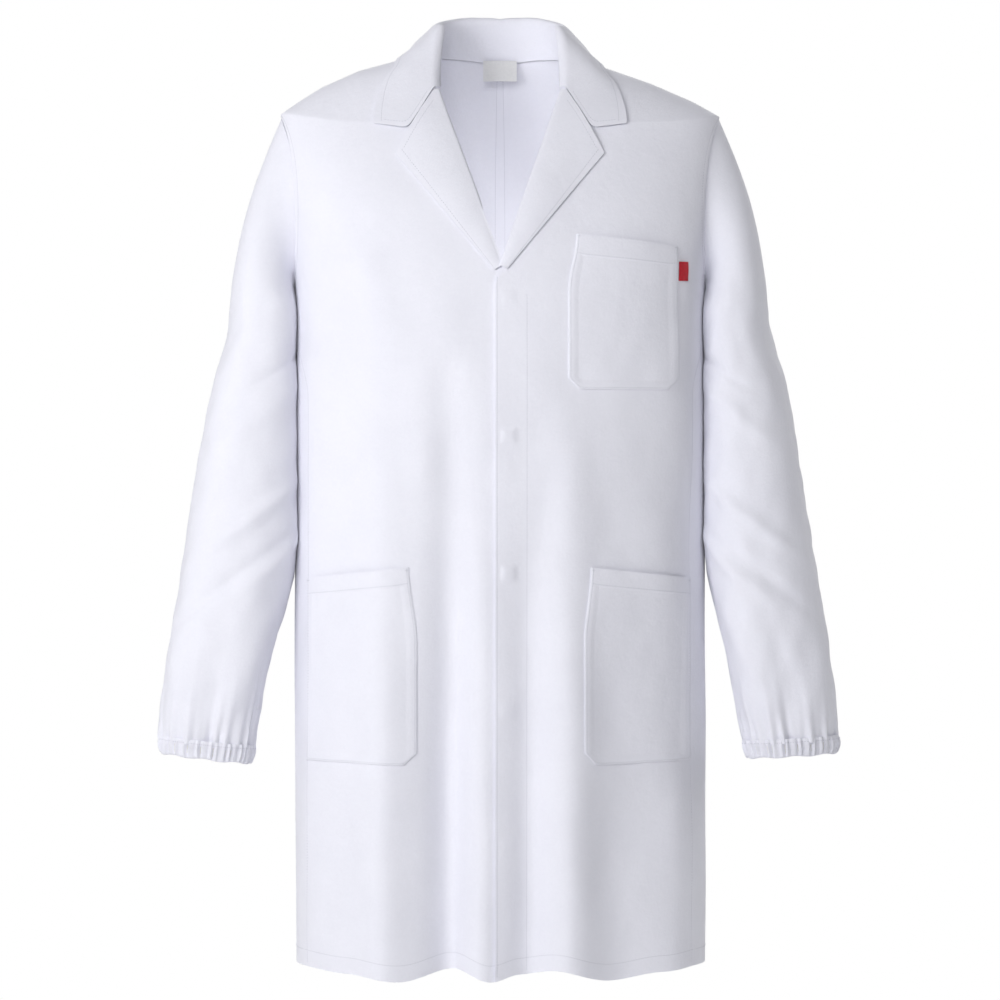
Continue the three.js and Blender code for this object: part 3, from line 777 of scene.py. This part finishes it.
# Profiles of the two halves, as (radius, height).
STUD = [(0.8, 0.8), (5.3, 0.8), (5.6, 1), (5.5, 1.2), (2.2, 1.3), (1.9, 1.5), (1.8, 2), (0.8, 2.1)]
SOCKET = [(2.2, 1.9), (3.6, 1.75), (5.2, 1.6), (5.6, 1.45), (5.5, 1.35), (3.8, 1.4), (2.2, 1.5)]

for k, z in enumerate(SNAPS, 1):
    t = angle_at_x(CLOSING_X, z)
    place = tuple(a.reshape(3) for a in coat(np.array(t), np.array(float(z)), 0.0))
    made = (
        (turned(f"snap_stud_{k}_shaped", STUD, place, plastic), f"snap_stud_{k}", "right"),
        (turned(f"snap_socket_{k}_shaped", SOCKET, place, plastic), f"snap_socket_{k}", "left"),
    )
    for obj, cad, name in made:
        if k == 1:
            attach(obj, "coat")
        else:
            hinge(obj)
        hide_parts(cad)


# ---- collar

SIDE_W = 0.55  # where the collar passes the shoulder seam, as a share of its half length
COLLAR_TOP = 3.2  # how far the fall lies off the form
PLY = 0.9  # thickness of the collar's upper cloth
STAND_FOOT, STAND_RISE, STAND_PEAK = 6, 38, 4
ROLL_ENDS, FALL_MIDDLE, FALL_END = 1.5, 2.5, 3.5  # how far down the collar's path these are
# Rows of the share of the collar's half length, and its edge's angle in degrees and height.
fall_edge = curve(
    [
        [0, 180, -16],
        [0.3, 137, -16],
        [SIDE_W, 90, -4],
        [0.65, 76.5, -15],
        [0.72, 72.6, -27],
        [0.8, 69, -41],
        [1, 63.5, -65],
    ]
)


def keep_off(p, distance):
    """Moves points out from the form until they are at least this far from it."""

    def level(q):
        half, front, back, square = section_at(q[..., 2])
        deep = np.where(q[..., 1] < 0, front, back)
        return (np.abs(q[..., 0]) / half) ** square + (np.abs(q[..., 1]) / deep) ** square

    e = 0.2
    for _ in range(4):
        slope = np.stack([(level(p + e * k) - level(p - e * k)) / (2 * e) for k in np.eye(3)], -1)
        size = np.maximum(np.linalg.norm(slope, axis=-1, keepdims=True), 1e-9)
        short = distance - (level(p)[..., None] - 1) / size
        move = np.where((short > 0) & (p[..., 2:] <= NECK_Z + 4), short, 0)
        p = p + slope / size * move
    return p


def rolled_point(knots, t):
    """A centripetal Catmull-Rom curve through the knots, as the frame's collar has."""
    share = t * (len(knots) - 1)
    i = min(int(share), len(knots) - 2)
    p1, p2 = knots[i], knots[i + 1]
    p0 = knots[i - 1] if i > 0 else 2 * p1 - p2
    p3 = knots[i + 2] if i + 2 < len(knots) else 2 * p2 - p1
    gaps = [max(np.linalg.norm(b - a) ** 0.5, 1e-4) for a, b in ((p0, p1), (p1, p2), (p2, p3))]
    m1 = (p1 - p0) / gaps[0] - (p2 - p0) / (gaps[0] + gaps[1]) + (p2 - p1) / gaps[1]
    m2 = (p2 - p1) / gaps[1] - (p3 - p1) / (gaps[1] + gaps[2]) + (p3 - p2) / gaps[2]
    m1, m2 = m1 * gaps[1], m2 * gaps[1]
    s = share - i
    return (
        (2 * s**3 - 3 * s**2 + 1) * p1
        + (s**3 - 2 * s**2 + s) * m1
        + (3 * s**2 - 2 * s**3) * p2
        + (s**3 - s**2) * m2
    )


def on_form(t, z):
    p, n = form(np.array(float(t)), np.array(float(z))), form_normal(np.array(float(t)), float(z))
    return p.reshape(3), n.reshape(3)


def collar_path(w):
    side, k = (-1 if w < 0 else 1), abs(w)
    if k < SIDE_W:
        u = k / SIDE_W
        z = NECK_EDGE_Z - NECK_DIP * (1 - u) ** 2
        p, n = on_form(side * lerp(math.pi, math.pi / 2, u), z)
    else:
        z = lerp(NECK_EDGE_Z, GORGE_Z, (k - SIDE_W) / (1 - SIDE_W))
        p, n = on_form(angle_at_x(front_edge(side, z), z), z)
    inward = unit(np.array([-p[0], -p[1], 0.0]))
    up = np.array([0, 0, 1.0])

    def go(a, b, c):
        return p + inward * a + up * b + n * c

    height = STAND_FOOT + STAND_RISE * (1 - max(0, (k - 0.2) / 0.8) ** 1.4)
    height += STAND_PEAK * math.exp(-((k / 0.16) ** 2))
    lean, r = height / 3, 3
    tall = [
        go(3, 0, 0),
        go(5 + lean * 0.4, height * 0.5, 0),
        go(lean + 2, height - r, 0),
        go(lean - 1, height, 0),
        go(lean - 1 - 2 * r, height - r, 0),
    ]
    flat = [
        go(7.5, 0, -3),
        go(8, 0, -1.5),
        go(8, 0, 1.5),
        go(6, 0, COLLAR_TOP),
        go(1, 0, COLLAR_TOP + 0.8),
    ]
    fold = float(smooth(k, 0.6, 1))
    knots = [lerp(a, b, fold) for a, b in zip(tall, flat)]
    degrees, z = fall_edge(k)
    end, end_n = on_form(side * math.radians(degrees), z)
    edge = end + end_n * COLLAR_TOP
    notch, notch_n = on_form(angle_at_x(side * (NOTCH_X + 0.4), NOTCH_Z), NOTCH_Z)
    middle = lerp(knots[4], edge, 0.5) - inward * 0.8 + up * 0.8
    middle = lerp(middle, notch + notch_n * COLLAR_TOP, float(smooth(k, 0.75, 1)))
    return knots, middle, edge


def collar_grid(ws, vs):
    grid = np.zeros((len(vs), len(ws), 3))
    for i, w in enumerate(ws):
        knots, middle, edge = collar_path(w)
        for j, v in enumerate(vs):
            if v <= ROLL_ENDS:
                grid[j, i] = rolled_point(knots, v / ROLL_ENDS)
            elif v < FALL_MIDDLE:
                grid[j, i] = lerp(knots[4], middle, v - ROLL_ENDS)
            else:
                grid[j, i] = lerp(middle, edge, v - FALL_MIDDLE)
    late = vs > ROLL_ENDS
    grid[late] = keep_off(grid[late], COLLAR_TOP)
    return crown(grid)


ws = np.concatenate([[-1, -0.975], np.linspace(-0.95, 0.95, 110), [0.975, 1]])
vs = np.concatenate([np.linspace(0, ROLL_ENDS, 22), np.linspace(ROLL_ENDS, FALL_END, 26)[1:]])
middle_ply = collar_grid(ws, vs)
for _ in range(3):  # takes the corners out of the collar's path
    middle_ply[1:-1] = (middle_ply[:-2] + 2 * middle_ply[1:-1] + middle_ply[2:]) / 4
ply_normals = grid_normals(middle_ply)
if ply_normals[30, len(ws) // 2] @ np.array([0, 1, 0]) < 0:
    ply_normals = -ply_normals
top_ply = middle_ply + ply_normals * PLY
collar = sheet("upper_collar_shaped", top_ply, middle_ply, cotton)
ride_coat(collar, "upper_collar")
under = slice(1, -1)
under_collar = sheet(
    "under_collar_shaped",
    (middle_ply - ply_normals * 0.1)[:-1, under],
    (middle_ply - ply_normals * PLY)[:-1, under],
    cotton,
)
ride_coat(under_collar, "under_collar")
sew("coat", top_ply[-4, 2:-2], ply_normals[-4, 2:-2])
for column in (3, -4):
    sew("coat", top_ply[24:-4, column], ply_normals[24:-4, column])


# ---- lapels

LAP_CLEAR_Z = BREAK_Z + 60  # the right lapel is free of the left one above here
LAPEL_ROLL = 0.2  # the share of a lapel's rows that goes round its roll
LAPEL_CLOTH, LAPEL_GAP = 1.3, 1.0


def lapel_grid(side, us, vs):
    u, v = np.meshgrid(us, vs)
    z = lerp(BREAK_Z + 1, GORGE_Z - 2, v)
    own = front_edge(side, z)
    free = own if side > 0 else np.minimum(own, front_edge(1, z) - 2.5)
    tip = 5 if side > 0 else -3.5
    outer_x = lerp(tip, side * LAPEL_X, v)
    outer_z = lerp(BREAK_Z - 1, LAPEL_Z, v)
    across = np.clip((u - LAPEL_ROLL) / (1 - LAPEL_ROLL), 0, 1)
    x = lerp(free, outer_x, across)
    bow = 3 * np.sin(math.pi * across) * v**4
    z_flat = lerp(z, outer_z, across) + bow
    puff = (0.6 + 2.2 * v) * np.sin(math.pi * across) ** 0.8
    stand = lift(x, side) + CLOTH + LAPEL_GAP + puff
    flat, _ = coat(angle_at_x(x, z_flat), z_flat, stand)
    root, n = coat(angle_at_x(free, z), z, 0 * z)
    top = lift(free, side) + CLOTH + LAPEL_GAP
    unrolled = 1 - u / LAPEL_ROLL
    turn = math.pi * unrolled
    wrapped = np.ones_like(z) if side > 0 else smooth(z, LAP_CLEAR_Z, LAP_CLEAR_Z + 20)
    low = lerp(top, lift(free, side) - 0.4, wrapped)
    radius = lerp(1.6, 4.2, v)
    inwards = lerp(3 * unrolled, unrolled + radius * np.sin(turn), wrapped)
    rolled = root + n * lerp(low, top, 0.5 + 0.5 * np.cos(turn))[..., None]
    rolled[..., 0] -= side * inwards
    return np.where((u > LAPEL_ROLL)[..., None], flat, rolled)


for name, side in SIDES:
    us = [np.linspace(0.04, LAPEL_ROLL, 12), np.linspace(LAPEL_ROLL, 1, 34)[1:]]
    us = np.concatenate(us)
    vs = np.linspace(0.02, 1, 84)
    grid = lapel_grid(side, us, vs)
    for _ in range(3):
        grid[:, 1:-1] = (grid[:, :-2] + 2 * grid[:, 1:-1] + grid[:, 2:]) / 4
    normals = grid_normals(grid) * side
    if normals[-5, -5, 1] > 0:
        normals = -normals
    top = grid + normals * LAPEL_CLOTH
    lapel = sheet("lapel_shaped_" + name, top, grid, cotton)
    ride_coat(lapel, "lapel_" + name)
    sew("coat", top[:-2, -4], normals[:-2, -4])
    sew("coat", top[-4, 14:-4], normals[-4, 14:-4])


# ---- sleeves

CAP_END_Z = ARMPIT_Z - 23
# Rows of height, inner and outer edge, half depth and the depth of the middle.
sleeve_section = curve(
    [
        [CUFF_Z, 261, 358, 40, -34],
        [CUFF_Z + 22, 256, 358, 48, -35],
        [-628, 240, 350, 58, -34],
        [-534, 219, 336, 68, -24],
        [-440, 214, 321, 75, -10],
        [-340, 211, 305, 79, 2],
        [CAP_END_Z, 211, 287, 80, 5],
    ]
)
SQUARE = 2.5  # how square a sleeve's section is


def sleeve_ring(q, z, swing=0.0, tilt=0.0):
    """A level of a sleeve that swings this much further out and ends this much lower inside."""
    inner, outer, depth, middle = np.moveaxis(sleeve_section(z), -1, 0)
    outer = outer + swing * smooth(-z, 80, 250)
    inner = inner + swing * smooth(-z, 480, 700)
    half = (outer - inner) / 2
    c, s = np.cos(q), np.sin(q)
    flat = (np.abs(c) ** SQUARE + np.abs(s) ** SQUARE) ** (-1 / SQUARE)
    low = z - tilt * (1 - c) / 2 * smooth(-z, 560, 727)
    return points(inner + half + half * c * flat, middle - depth * s * flat, low)


def armhole(q):
    z = ARMHOLE_Z + ARMHOLE_HALF * np.cos(q)
    depth = np.abs(np.where(np.sin(q) < 0, BACK_DEPTH, FRONT_DEPTH) * np.sin(q))
    return form(angle_at_depth(depth, z, np.sin(q) < 0), z)


def sleeve_grid(q, v, swing, tilt):
    """v is 0 at the armhole, 1 at the end of the cap and 2 at the cuff."""
    z = lerp(CAP_END_Z, CUFF_Z + CUFF_HEIGHT - 3, np.clip(v - 1, 0, 1))
    lower = sleeve_ring(q, z, swing, tilt)
    a = armhole(q) + points(SEAM_TUCK * np.cos(q), 0, 0)
    b = sleeve_ring(q, CAP_END_Z + 0 * q, swing, tilt)
    length = np.linalg.norm(a - b, axis=-1, keepdims=True)
    begin = points(0.4 + 0.35 * np.abs(np.sin(q)), 0, -0.9) * length
    end = np.array([0.08, 0, -1.0]) * length
    w = np.clip(v, 0, 1)[..., None]
    h = w * w * (3 - 2 * w)
    cap = lerp(a, b, h) + begin * w * (1 - w) ** 2 + end * w * w * (w - 1)
    return crown(np.where((v > 1)[..., None], lower, cap))


SLEEVE_RADIUS = 75
# Folds of a sleeve: the height and the angle of each end, width in mm and height.
SLEEVE_FOLDS = [
    (-440, 2.6, -520, 0.9, 11, 3.4),
    (-470, 3.3, -560, 1.7, 9, 2.6),
    (-500, 2.4, -590, 0.6, 10, -2.4),
    (-330, 2.7, -400, 1.2, 14, 2.6),
    (-300, 2.9, -340, 1.6, 10, -2.4),
    (-600, 0.4, -690, 1.2, 12, 2.2),
    (-580, 2.4, -690, 1.9, 12, 2.6),
    (-450, -2.6, -540, -1.0, 13, 3.2),
    (-330, -2.4, -400, -1.0, 15, 2.6),
]


def sleeve_drape(q, p, mirror):
    z = p[..., 2]
    total = 1.3 * ripple(p * [mirror, 1, 1], 110, 2.6, 21 + mirror)
    total = total + 0.35 * ripple(p, 30, 1.6, 25 + mirror)
    around = (q + math.pi) % (2 * math.pi) - math.pi
    for z0, q0, z1, q1, width, amount in SLEEVE_FOLDS:
        s = (z - z0) / (z1 - z0)
        gap = (around - lerp(q0, q1, s) + math.pi) % (2 * math.pi) - math.pi
        ends = smooth(s, -0.25, 0.3) * (1 - smooth(s, 0.65, 1.3))
        total = total + amount * ends * np.exp(-((gap * SLEEVE_RADIUS / width / 1.6) ** 2))
    over_cuff = np.maximum(0, z - CUFF_Z - CUFF_HEIGHT)
    gathered, long = np.exp(-over_cuff / 20), np.exp(-over_cuff / 60)
    pleats = np.sin(23 * q + 1.3 * np.sin(3 * q)) + 0.5 * np.sin(37 * q + 2 * np.sin(2 * q))
    slow = 1.3 * np.sin(7 * q + 0.6 * np.sin(2 * q)) + np.sin(11 * q)
    free = smooth(-z, -ARMPIT_Z - 60, -ARMPIT_Z + 60)
    hung = total * (0.25 + 0.75 * free) + 1.7 * pleats * gathered + 1.2 * slow * long
    return hung - 1.6 * gathered


def around(count):
    return np.linspace(math.pi, 3 * math.pi, count, endpoint=False)


def make_sleeve(name, side, hang):
    v = np.concatenate([np.linspace(0, 1, 66), np.linspace(1, 2, 152)[1:]])
    qq, vv = np.meshgrid(around(176), v)
    grid = sleeve_grid(qq, vv, *hang)
    normals = grid_normals(np.concatenate([grid[:, -1:], grid, grid[:, :1]], 1))[:, 1:-1]
    if normals[100, 88] @ np.array([1.0, 0, 0]) < 0:
        normals = -normals
    free = smooth(vv, 0.0, 0.5)
    grid = grid + normals * (sleeve_drape(qq, grid, side) * free - 1.6 * (1 - free))[..., None]
    clear = keep_off(grid, CLOTH + 1.6)
    grid = lerp(grid, clear, smooth(vv, 0.35, 0.9)[..., None])
    grid, normals = grid * [side, 1, 1], normals * [side, 1, 1]
    obj = sheet("sleeve_shaped_" + name, grid, grid - normals * CLOTH, cotton, closed=True)
    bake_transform(obj)
    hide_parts("sleeve_" + name)


# The casing's profile: how far out and how high above the cuff each point of it lies.
CASING_OUTER = [(-0.9, 19.5), (-0.1, 18), (0.3, 15.5), (0.5, 11), (0.4, 6), (0, 2), (-0.6, 0.3)]
CASING_INNER = [(-1.5, 0), (-2.3, 0.4), (-2.8, 2), (-3, 6), (-3, 12), (-2.7, 16), (-1.9, 18.6)]
CASING_TOP, CASING_SEAM = 18.5, 15.5
PLEAT_DEPTH = 0.8


def cuff_out(q):
    return unit(points(np.cos(q) / 50, -np.sin(q) / 40, 0))


def cuff_pleats(q):
    return np.sin(46 * q + 1.3 * np.sin(3 * q)) + 0.6 * np.sin(71 * q + 2 * np.sin(2 * q))


def make_casing(name, side, hang):
    """The casing is gathered on its elastic, so its pleats run on from the sleeve's."""
    q = around(300)
    pleat, out = cuff_pleats(q), cuff_out(q)
    ring = []
    for d, h in CASING_OUTER + CASING_INNER:
        base = sleeve_ring(q, CUFF_Z + h + 0 * q, *hang)
        depth = 1.5 * math.sin(math.pi * min(1, max(0, h / CASING_TOP))) + 0.5
        wave = pleat * depth * (1 if d > -1 else 0.6)
        sway = points(0, 0, 0.8 * np.sin(9 * q) * (1 - h / CASING_TOP))
        ring.append(base + out * (d + PLEAT_DEPTH * wave)[..., None] + sway)
    vertices = (np.array(ring).transpose(1, 0, 2) * [side, 1, 1]).reshape(-1, 3)
    faces = facing_out(vertices, ring_faces(len(q), len(ring)))
    i, j = np.meshgrid(np.arange(len(q)), np.arange(len(ring)), indexing="ij")
    uv = np.stack([i.ravel() * 1.0, j.ravel() * 3.0], -1)
    casing = finish_mesh("cuff_casing_shaped_" + name, vertices, faces, uv, ribbed, 70)
    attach(casing, "sleeve_" + name)
    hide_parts("cuff_casing_" + name)
    line = sleeve_ring(q, CUFF_Z + CASING_SEAM + 0 * q, *hang)
    line = (line + out * (0.5 + PLEAT_DEPTH * 1.2 * pleat)[..., None]) * [side, 1, 1]
    sew("cuff_" + name, line, out * [side, 1, 1], pitch=2.6, length=1.8)


def make_elastic(name, side, hang):
    qq, zz = np.meshgrid(around(120), CUFF_Z + np.linspace(3.5, 13.5, 7))
    band, out = sleeve_ring(qq, zz, *hang), cuff_out(qq)
    rib = 0.12 * np.sin(60 * qq)
    outer, inner = ((band + out * (d + rib)[..., None]) * [side, 1, 1] for d in (-1.2, -1.9))
    elastic = sheet("cuff_elastic_shaped_" + name, outer, inner, web, closed=True)
    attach(elastic, "sleeve_" + name)
    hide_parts("cuff_elastic_" + name)


# How much further out each sleeve swings than its section, and its end's tilt.
HANG = {"left": (0.0, 6.0), "right": (2.0, 12.0)}

for name, side in SIDES:
    make_sleeve(name, side, HANG[name])
    make_casing(name, side, HANG[name])
    make_elastic(name, side, HANG[name])


# ---- pockets

CHEST = dict(inner=71, outer=185, top=-183, slope=-11, bottom=-345, cut=12, lean=9, hem=22)
HIP = dict(inner=86, outer=201, top=-530, slope=-12, bottom=-736, cut=12, lean=8, hem=19)
CHEST_MOUTH, HIP_MOUTH = 2.4, 3.0  # how far the mouths stand open
POCKET_STITCH = 2.2  # how far inside a pocket's edge it is sewn down
BEVEL = 1.2
HEM_STEP = 0.004  # the share of a pocket's height over which its hem's fold steps up
TURNED_IN = (7.0, 8.5)  # where the edge that is turned in under a pocket ends


def pocket_place(side, size, both, u, v):
    width = size["outer"] - size["inner"]
    corner = np.maximum(0, size["cut"] - u * width)
    if both:
        corner = corner + np.maximum(0, size["cut"] - (1 - u) * width)
    x = side * lerp(size["inner"] + size["lean"] * smooth(v, 0.6, 1), size["outer"], u)
    z = lerp(size["bottom"] + corner, size["top"] + size["slope"] * u, v)
    return angle_at_x(x, z), x, z


def make_pocket(label, name, side, size, both, mouth, cad):
    width, tall = size["outer"] - size["inner"], size["top"] - size["bottom"]
    us = np.unique([*np.linspace(0, 1, 50), BEVEL / width, 1 - BEVEL / width])
    hem_v = 1 - size["hem"] / tall
    hem_fold_at = (hem_v - HEM_STEP, hem_v + HEM_STEP)
    vs = np.unique([*np.linspace(0, 1, 74), *hem_fold_at, BEVEL / tall])
    u, v = np.meshgrid(us, vs)
    t, x, z = pocket_place(side, size, both, u, v)
    edge = np.minimum(1, np.minimum(u / 0.3, (1 - u) / 0.3))
    room = mouth * v**1.6 * edge * (2 - edge)
    slack = 0.25 * ripple(points(x, 0, z), 80, 1.4, 31) * edge * np.minimum(1, v / 0.1)
    low = lift(x, side) + (CLOTH + 0.15) + room + slack
    rim = np.minimum(np.minimum(u, 1 - u) * width, v * tall)
    turned_in = 0.7 * (1 - smooth(rim, *TURNED_IN))
    folded = 0.6 * smooth(v, *hem_fold_at)
    high = low + CLOTH + np.maximum(turned_in, folded) - 0.5 * (1 - smooth(rim, 0, BEVEL))
    outer, n = coat(t, z, high)
    inner, _ = coat(t, z, low)
    obj = sheet(label, outer, inner, cotton)
    ride_front(obj, name, cad)

    def line(us, vs):
        us, vs = np.broadcast_arrays(np.asarray(us, float), np.asarray(vs, float))
        lu = np.interp(us, u[0], np.arange(len(u[0])))
        lv = np.interp(vs, v[:, 0], np.arange(len(v)))
        i, j = np.minimum(lu.astype(int), len(u[0]) - 2), np.minimum(lv.astype(int), len(v) - 2)
        a, b = (lu - i)[:, None], (lv - j)[:, None]
        lower, upper = (lerp(outer[j + k, i], outer[j + k, i + 1], a) for k in (0, 1))
        return lerp(lower, upper, b), n[j, i]

    pile = "front_" + name
    inset, rise = POCKET_STITCH / width, POCKET_STITCH / tall
    down = np.linspace(1, rise, 80)
    sew(pile, *line(inset, down))
    sew(pile, *line(1 - inset, down))
    sew(pile, *line(np.linspace(inset, 1 - inset, 80), rise))
    sew(pile, *line(np.linspace(0.01, 0.99, 60), hem_v + 0.008))
    for end in (inset, 1 - inset):
        tack = np.linspace(end - 0.016, end + 0.016, 5)
        sew(pile, *line(tack, 0.985), pitch=0.8, length=1.6, width=0.8)


make_pocket("chest_pocket_shaped", "left", 1, CHEST, True, CHEST_MOUTH, "chest_pocket")
for name, side in SIDES:
    label = "hip_pocket_shaped_" + name
    make_pocket(label, name, side, HIP, False, HIP_MOUTH, "hip_pocket_" + name)


# ---- tab and label


def tape(name, grid, thickness, material, body, cad):
    normals = grid_normals(grid)
    obj = sheet(name, grid + normals * thickness, grid, material)
    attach(obj, body)
    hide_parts(cad)
    return obj


TAB_X, TAB_WIDTH = 186.4, 8.2
TAB_Z, TAB_HEIGHT = -210, 20
u, v = np.meshgrid(np.linspace(0, 1, 14), np.linspace(0, 1, 26))
x = TAB_X + TAB_WIDTH * u
z = TAB_Z - TAB_HEIGHT * v
curl = 0.15 + 2.0 * np.sin(math.pi * u * 0.5) + 0.3 * np.sin(5 * v) * u
place, _ = coat(angle_at_x(x, z), z, CLOTH + curl)
tab = tape("pocket_tab_shaped", place, -0.6, tape_red, "tab", "pocket_tab")

label_low, label_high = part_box("neck_label")
middle_y = (label_low[1] + label_high[1]) / 2 / MM
x = lerp(label_low[0] / MM, label_high[0] / MM, u)
z = lerp(label_high[2] / MM, label_low[2] / MM, v)
y = middle_y + 0.6 * np.sin(3 * v) - 0.0012 * x**2
place = crown(points(x, y, z))
label = tape("neck_label_shaped", place, 0.5, tape_white, "label", "neck_label")


# ---- stitched lines


def sew_front(side, name, us, zs):
    """Stitches on a front along a line of shares us and heights zs."""
    us, zs = np.broadcast_arrays(np.asarray(us, float), np.asarray(zs, float))
    t = front_place(side, us, zs)
    p, n = coat(t, zs, raised(side, form(t, zs)[..., 0], zs) + CLOTH)
    sew("front_" + name, p, n)


def sew_closing(x, zs):
    """Stitches down the left front at a distance from the middle."""
    xs = np.full_like(zs, x)
    p, n = coat(angle_at_x(xs, zs), zs, raised(1, xs, zs) + CLOTH)
    sew("front_left", p, n)


FLY_STITCH_X, EDGE_STITCH_X = 28.0, -3.0
SEAM_SHARE, HOLE_SHARE, BACK_HOLE_SHARE = 0.978, 0.972, 0.965  # of a panel's width
BACK_SEAM_X, BACK_RADIUS = 5.2, 115
hem_z = HEM_Z + HEM_DEPTH
hole = ARMHOLE_Z + ARMHOLE_HALF * np.cos(np.linspace(0.06, math.pi - 0.02, 120))
for name, side in SIDES:
    sew_front(side, name, np.linspace(0.01, 0.995, 120), hem_z)
    seam_z = np.linspace(ARMPIT_Z - 4, HEM_Z + 4, 260)
    sew_front(side, name, SEAM_SHARE, seam_z)
    sew_front(side, name, HOLE_SHARE, hole)
    sew_front(side, name, np.linspace(0.93, 0.94, 40), np.linspace(-4, SHOULDER_Z + 2, 40))
sew_closing(FLY_STITCH_X, np.linspace(BREAK_Z - 24, HEM_Z + 4, 260))
sew_closing(EDGE_STITCH_X, np.linspace(BREAK_Z - 6, HEM_Z + 4, 260))

for name, side in SIDES:
    z = np.linspace(-4, HEM_Z + 3, 320)
    dip = NECK_DIP * smooth(z, SHOULDER_Z, NECK_Z)
    t = np.full_like(z, side * (math.pi - BACK_SEAM_X / BACK_RADIUS))
    for off, flip in ((CLOTH + FELL_HEIGHT, 1), (-FELL_HEIGHT, -1)):
        p, n = coat(t, z - dip, off)
        sew("coat", p, n * flip)
    u = np.linspace(0.01, 0.99, 120)
    t = side * lerp(math.pi, outer_angle(np.array(hem_z), True), u)
    sew("coat", *coat(t, np.full_like(u, hem_z), CLOTH))
    t = side * lerp(math.pi, outer_angle(hole, True), BACK_HOLE_SHARE)
    sew("coat", *coat(t, hole, CLOTH))

for pile in sorted(stitches):
    obj = make_stitches(pile, thread_painted_shade)
    if pile == "coat":
        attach(obj, "coat")
    elif pile.startswith("front_"):
        hinge(obj)
    else:
        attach(obj, "sleeve_" + pile.removeprefix("cuff_"))
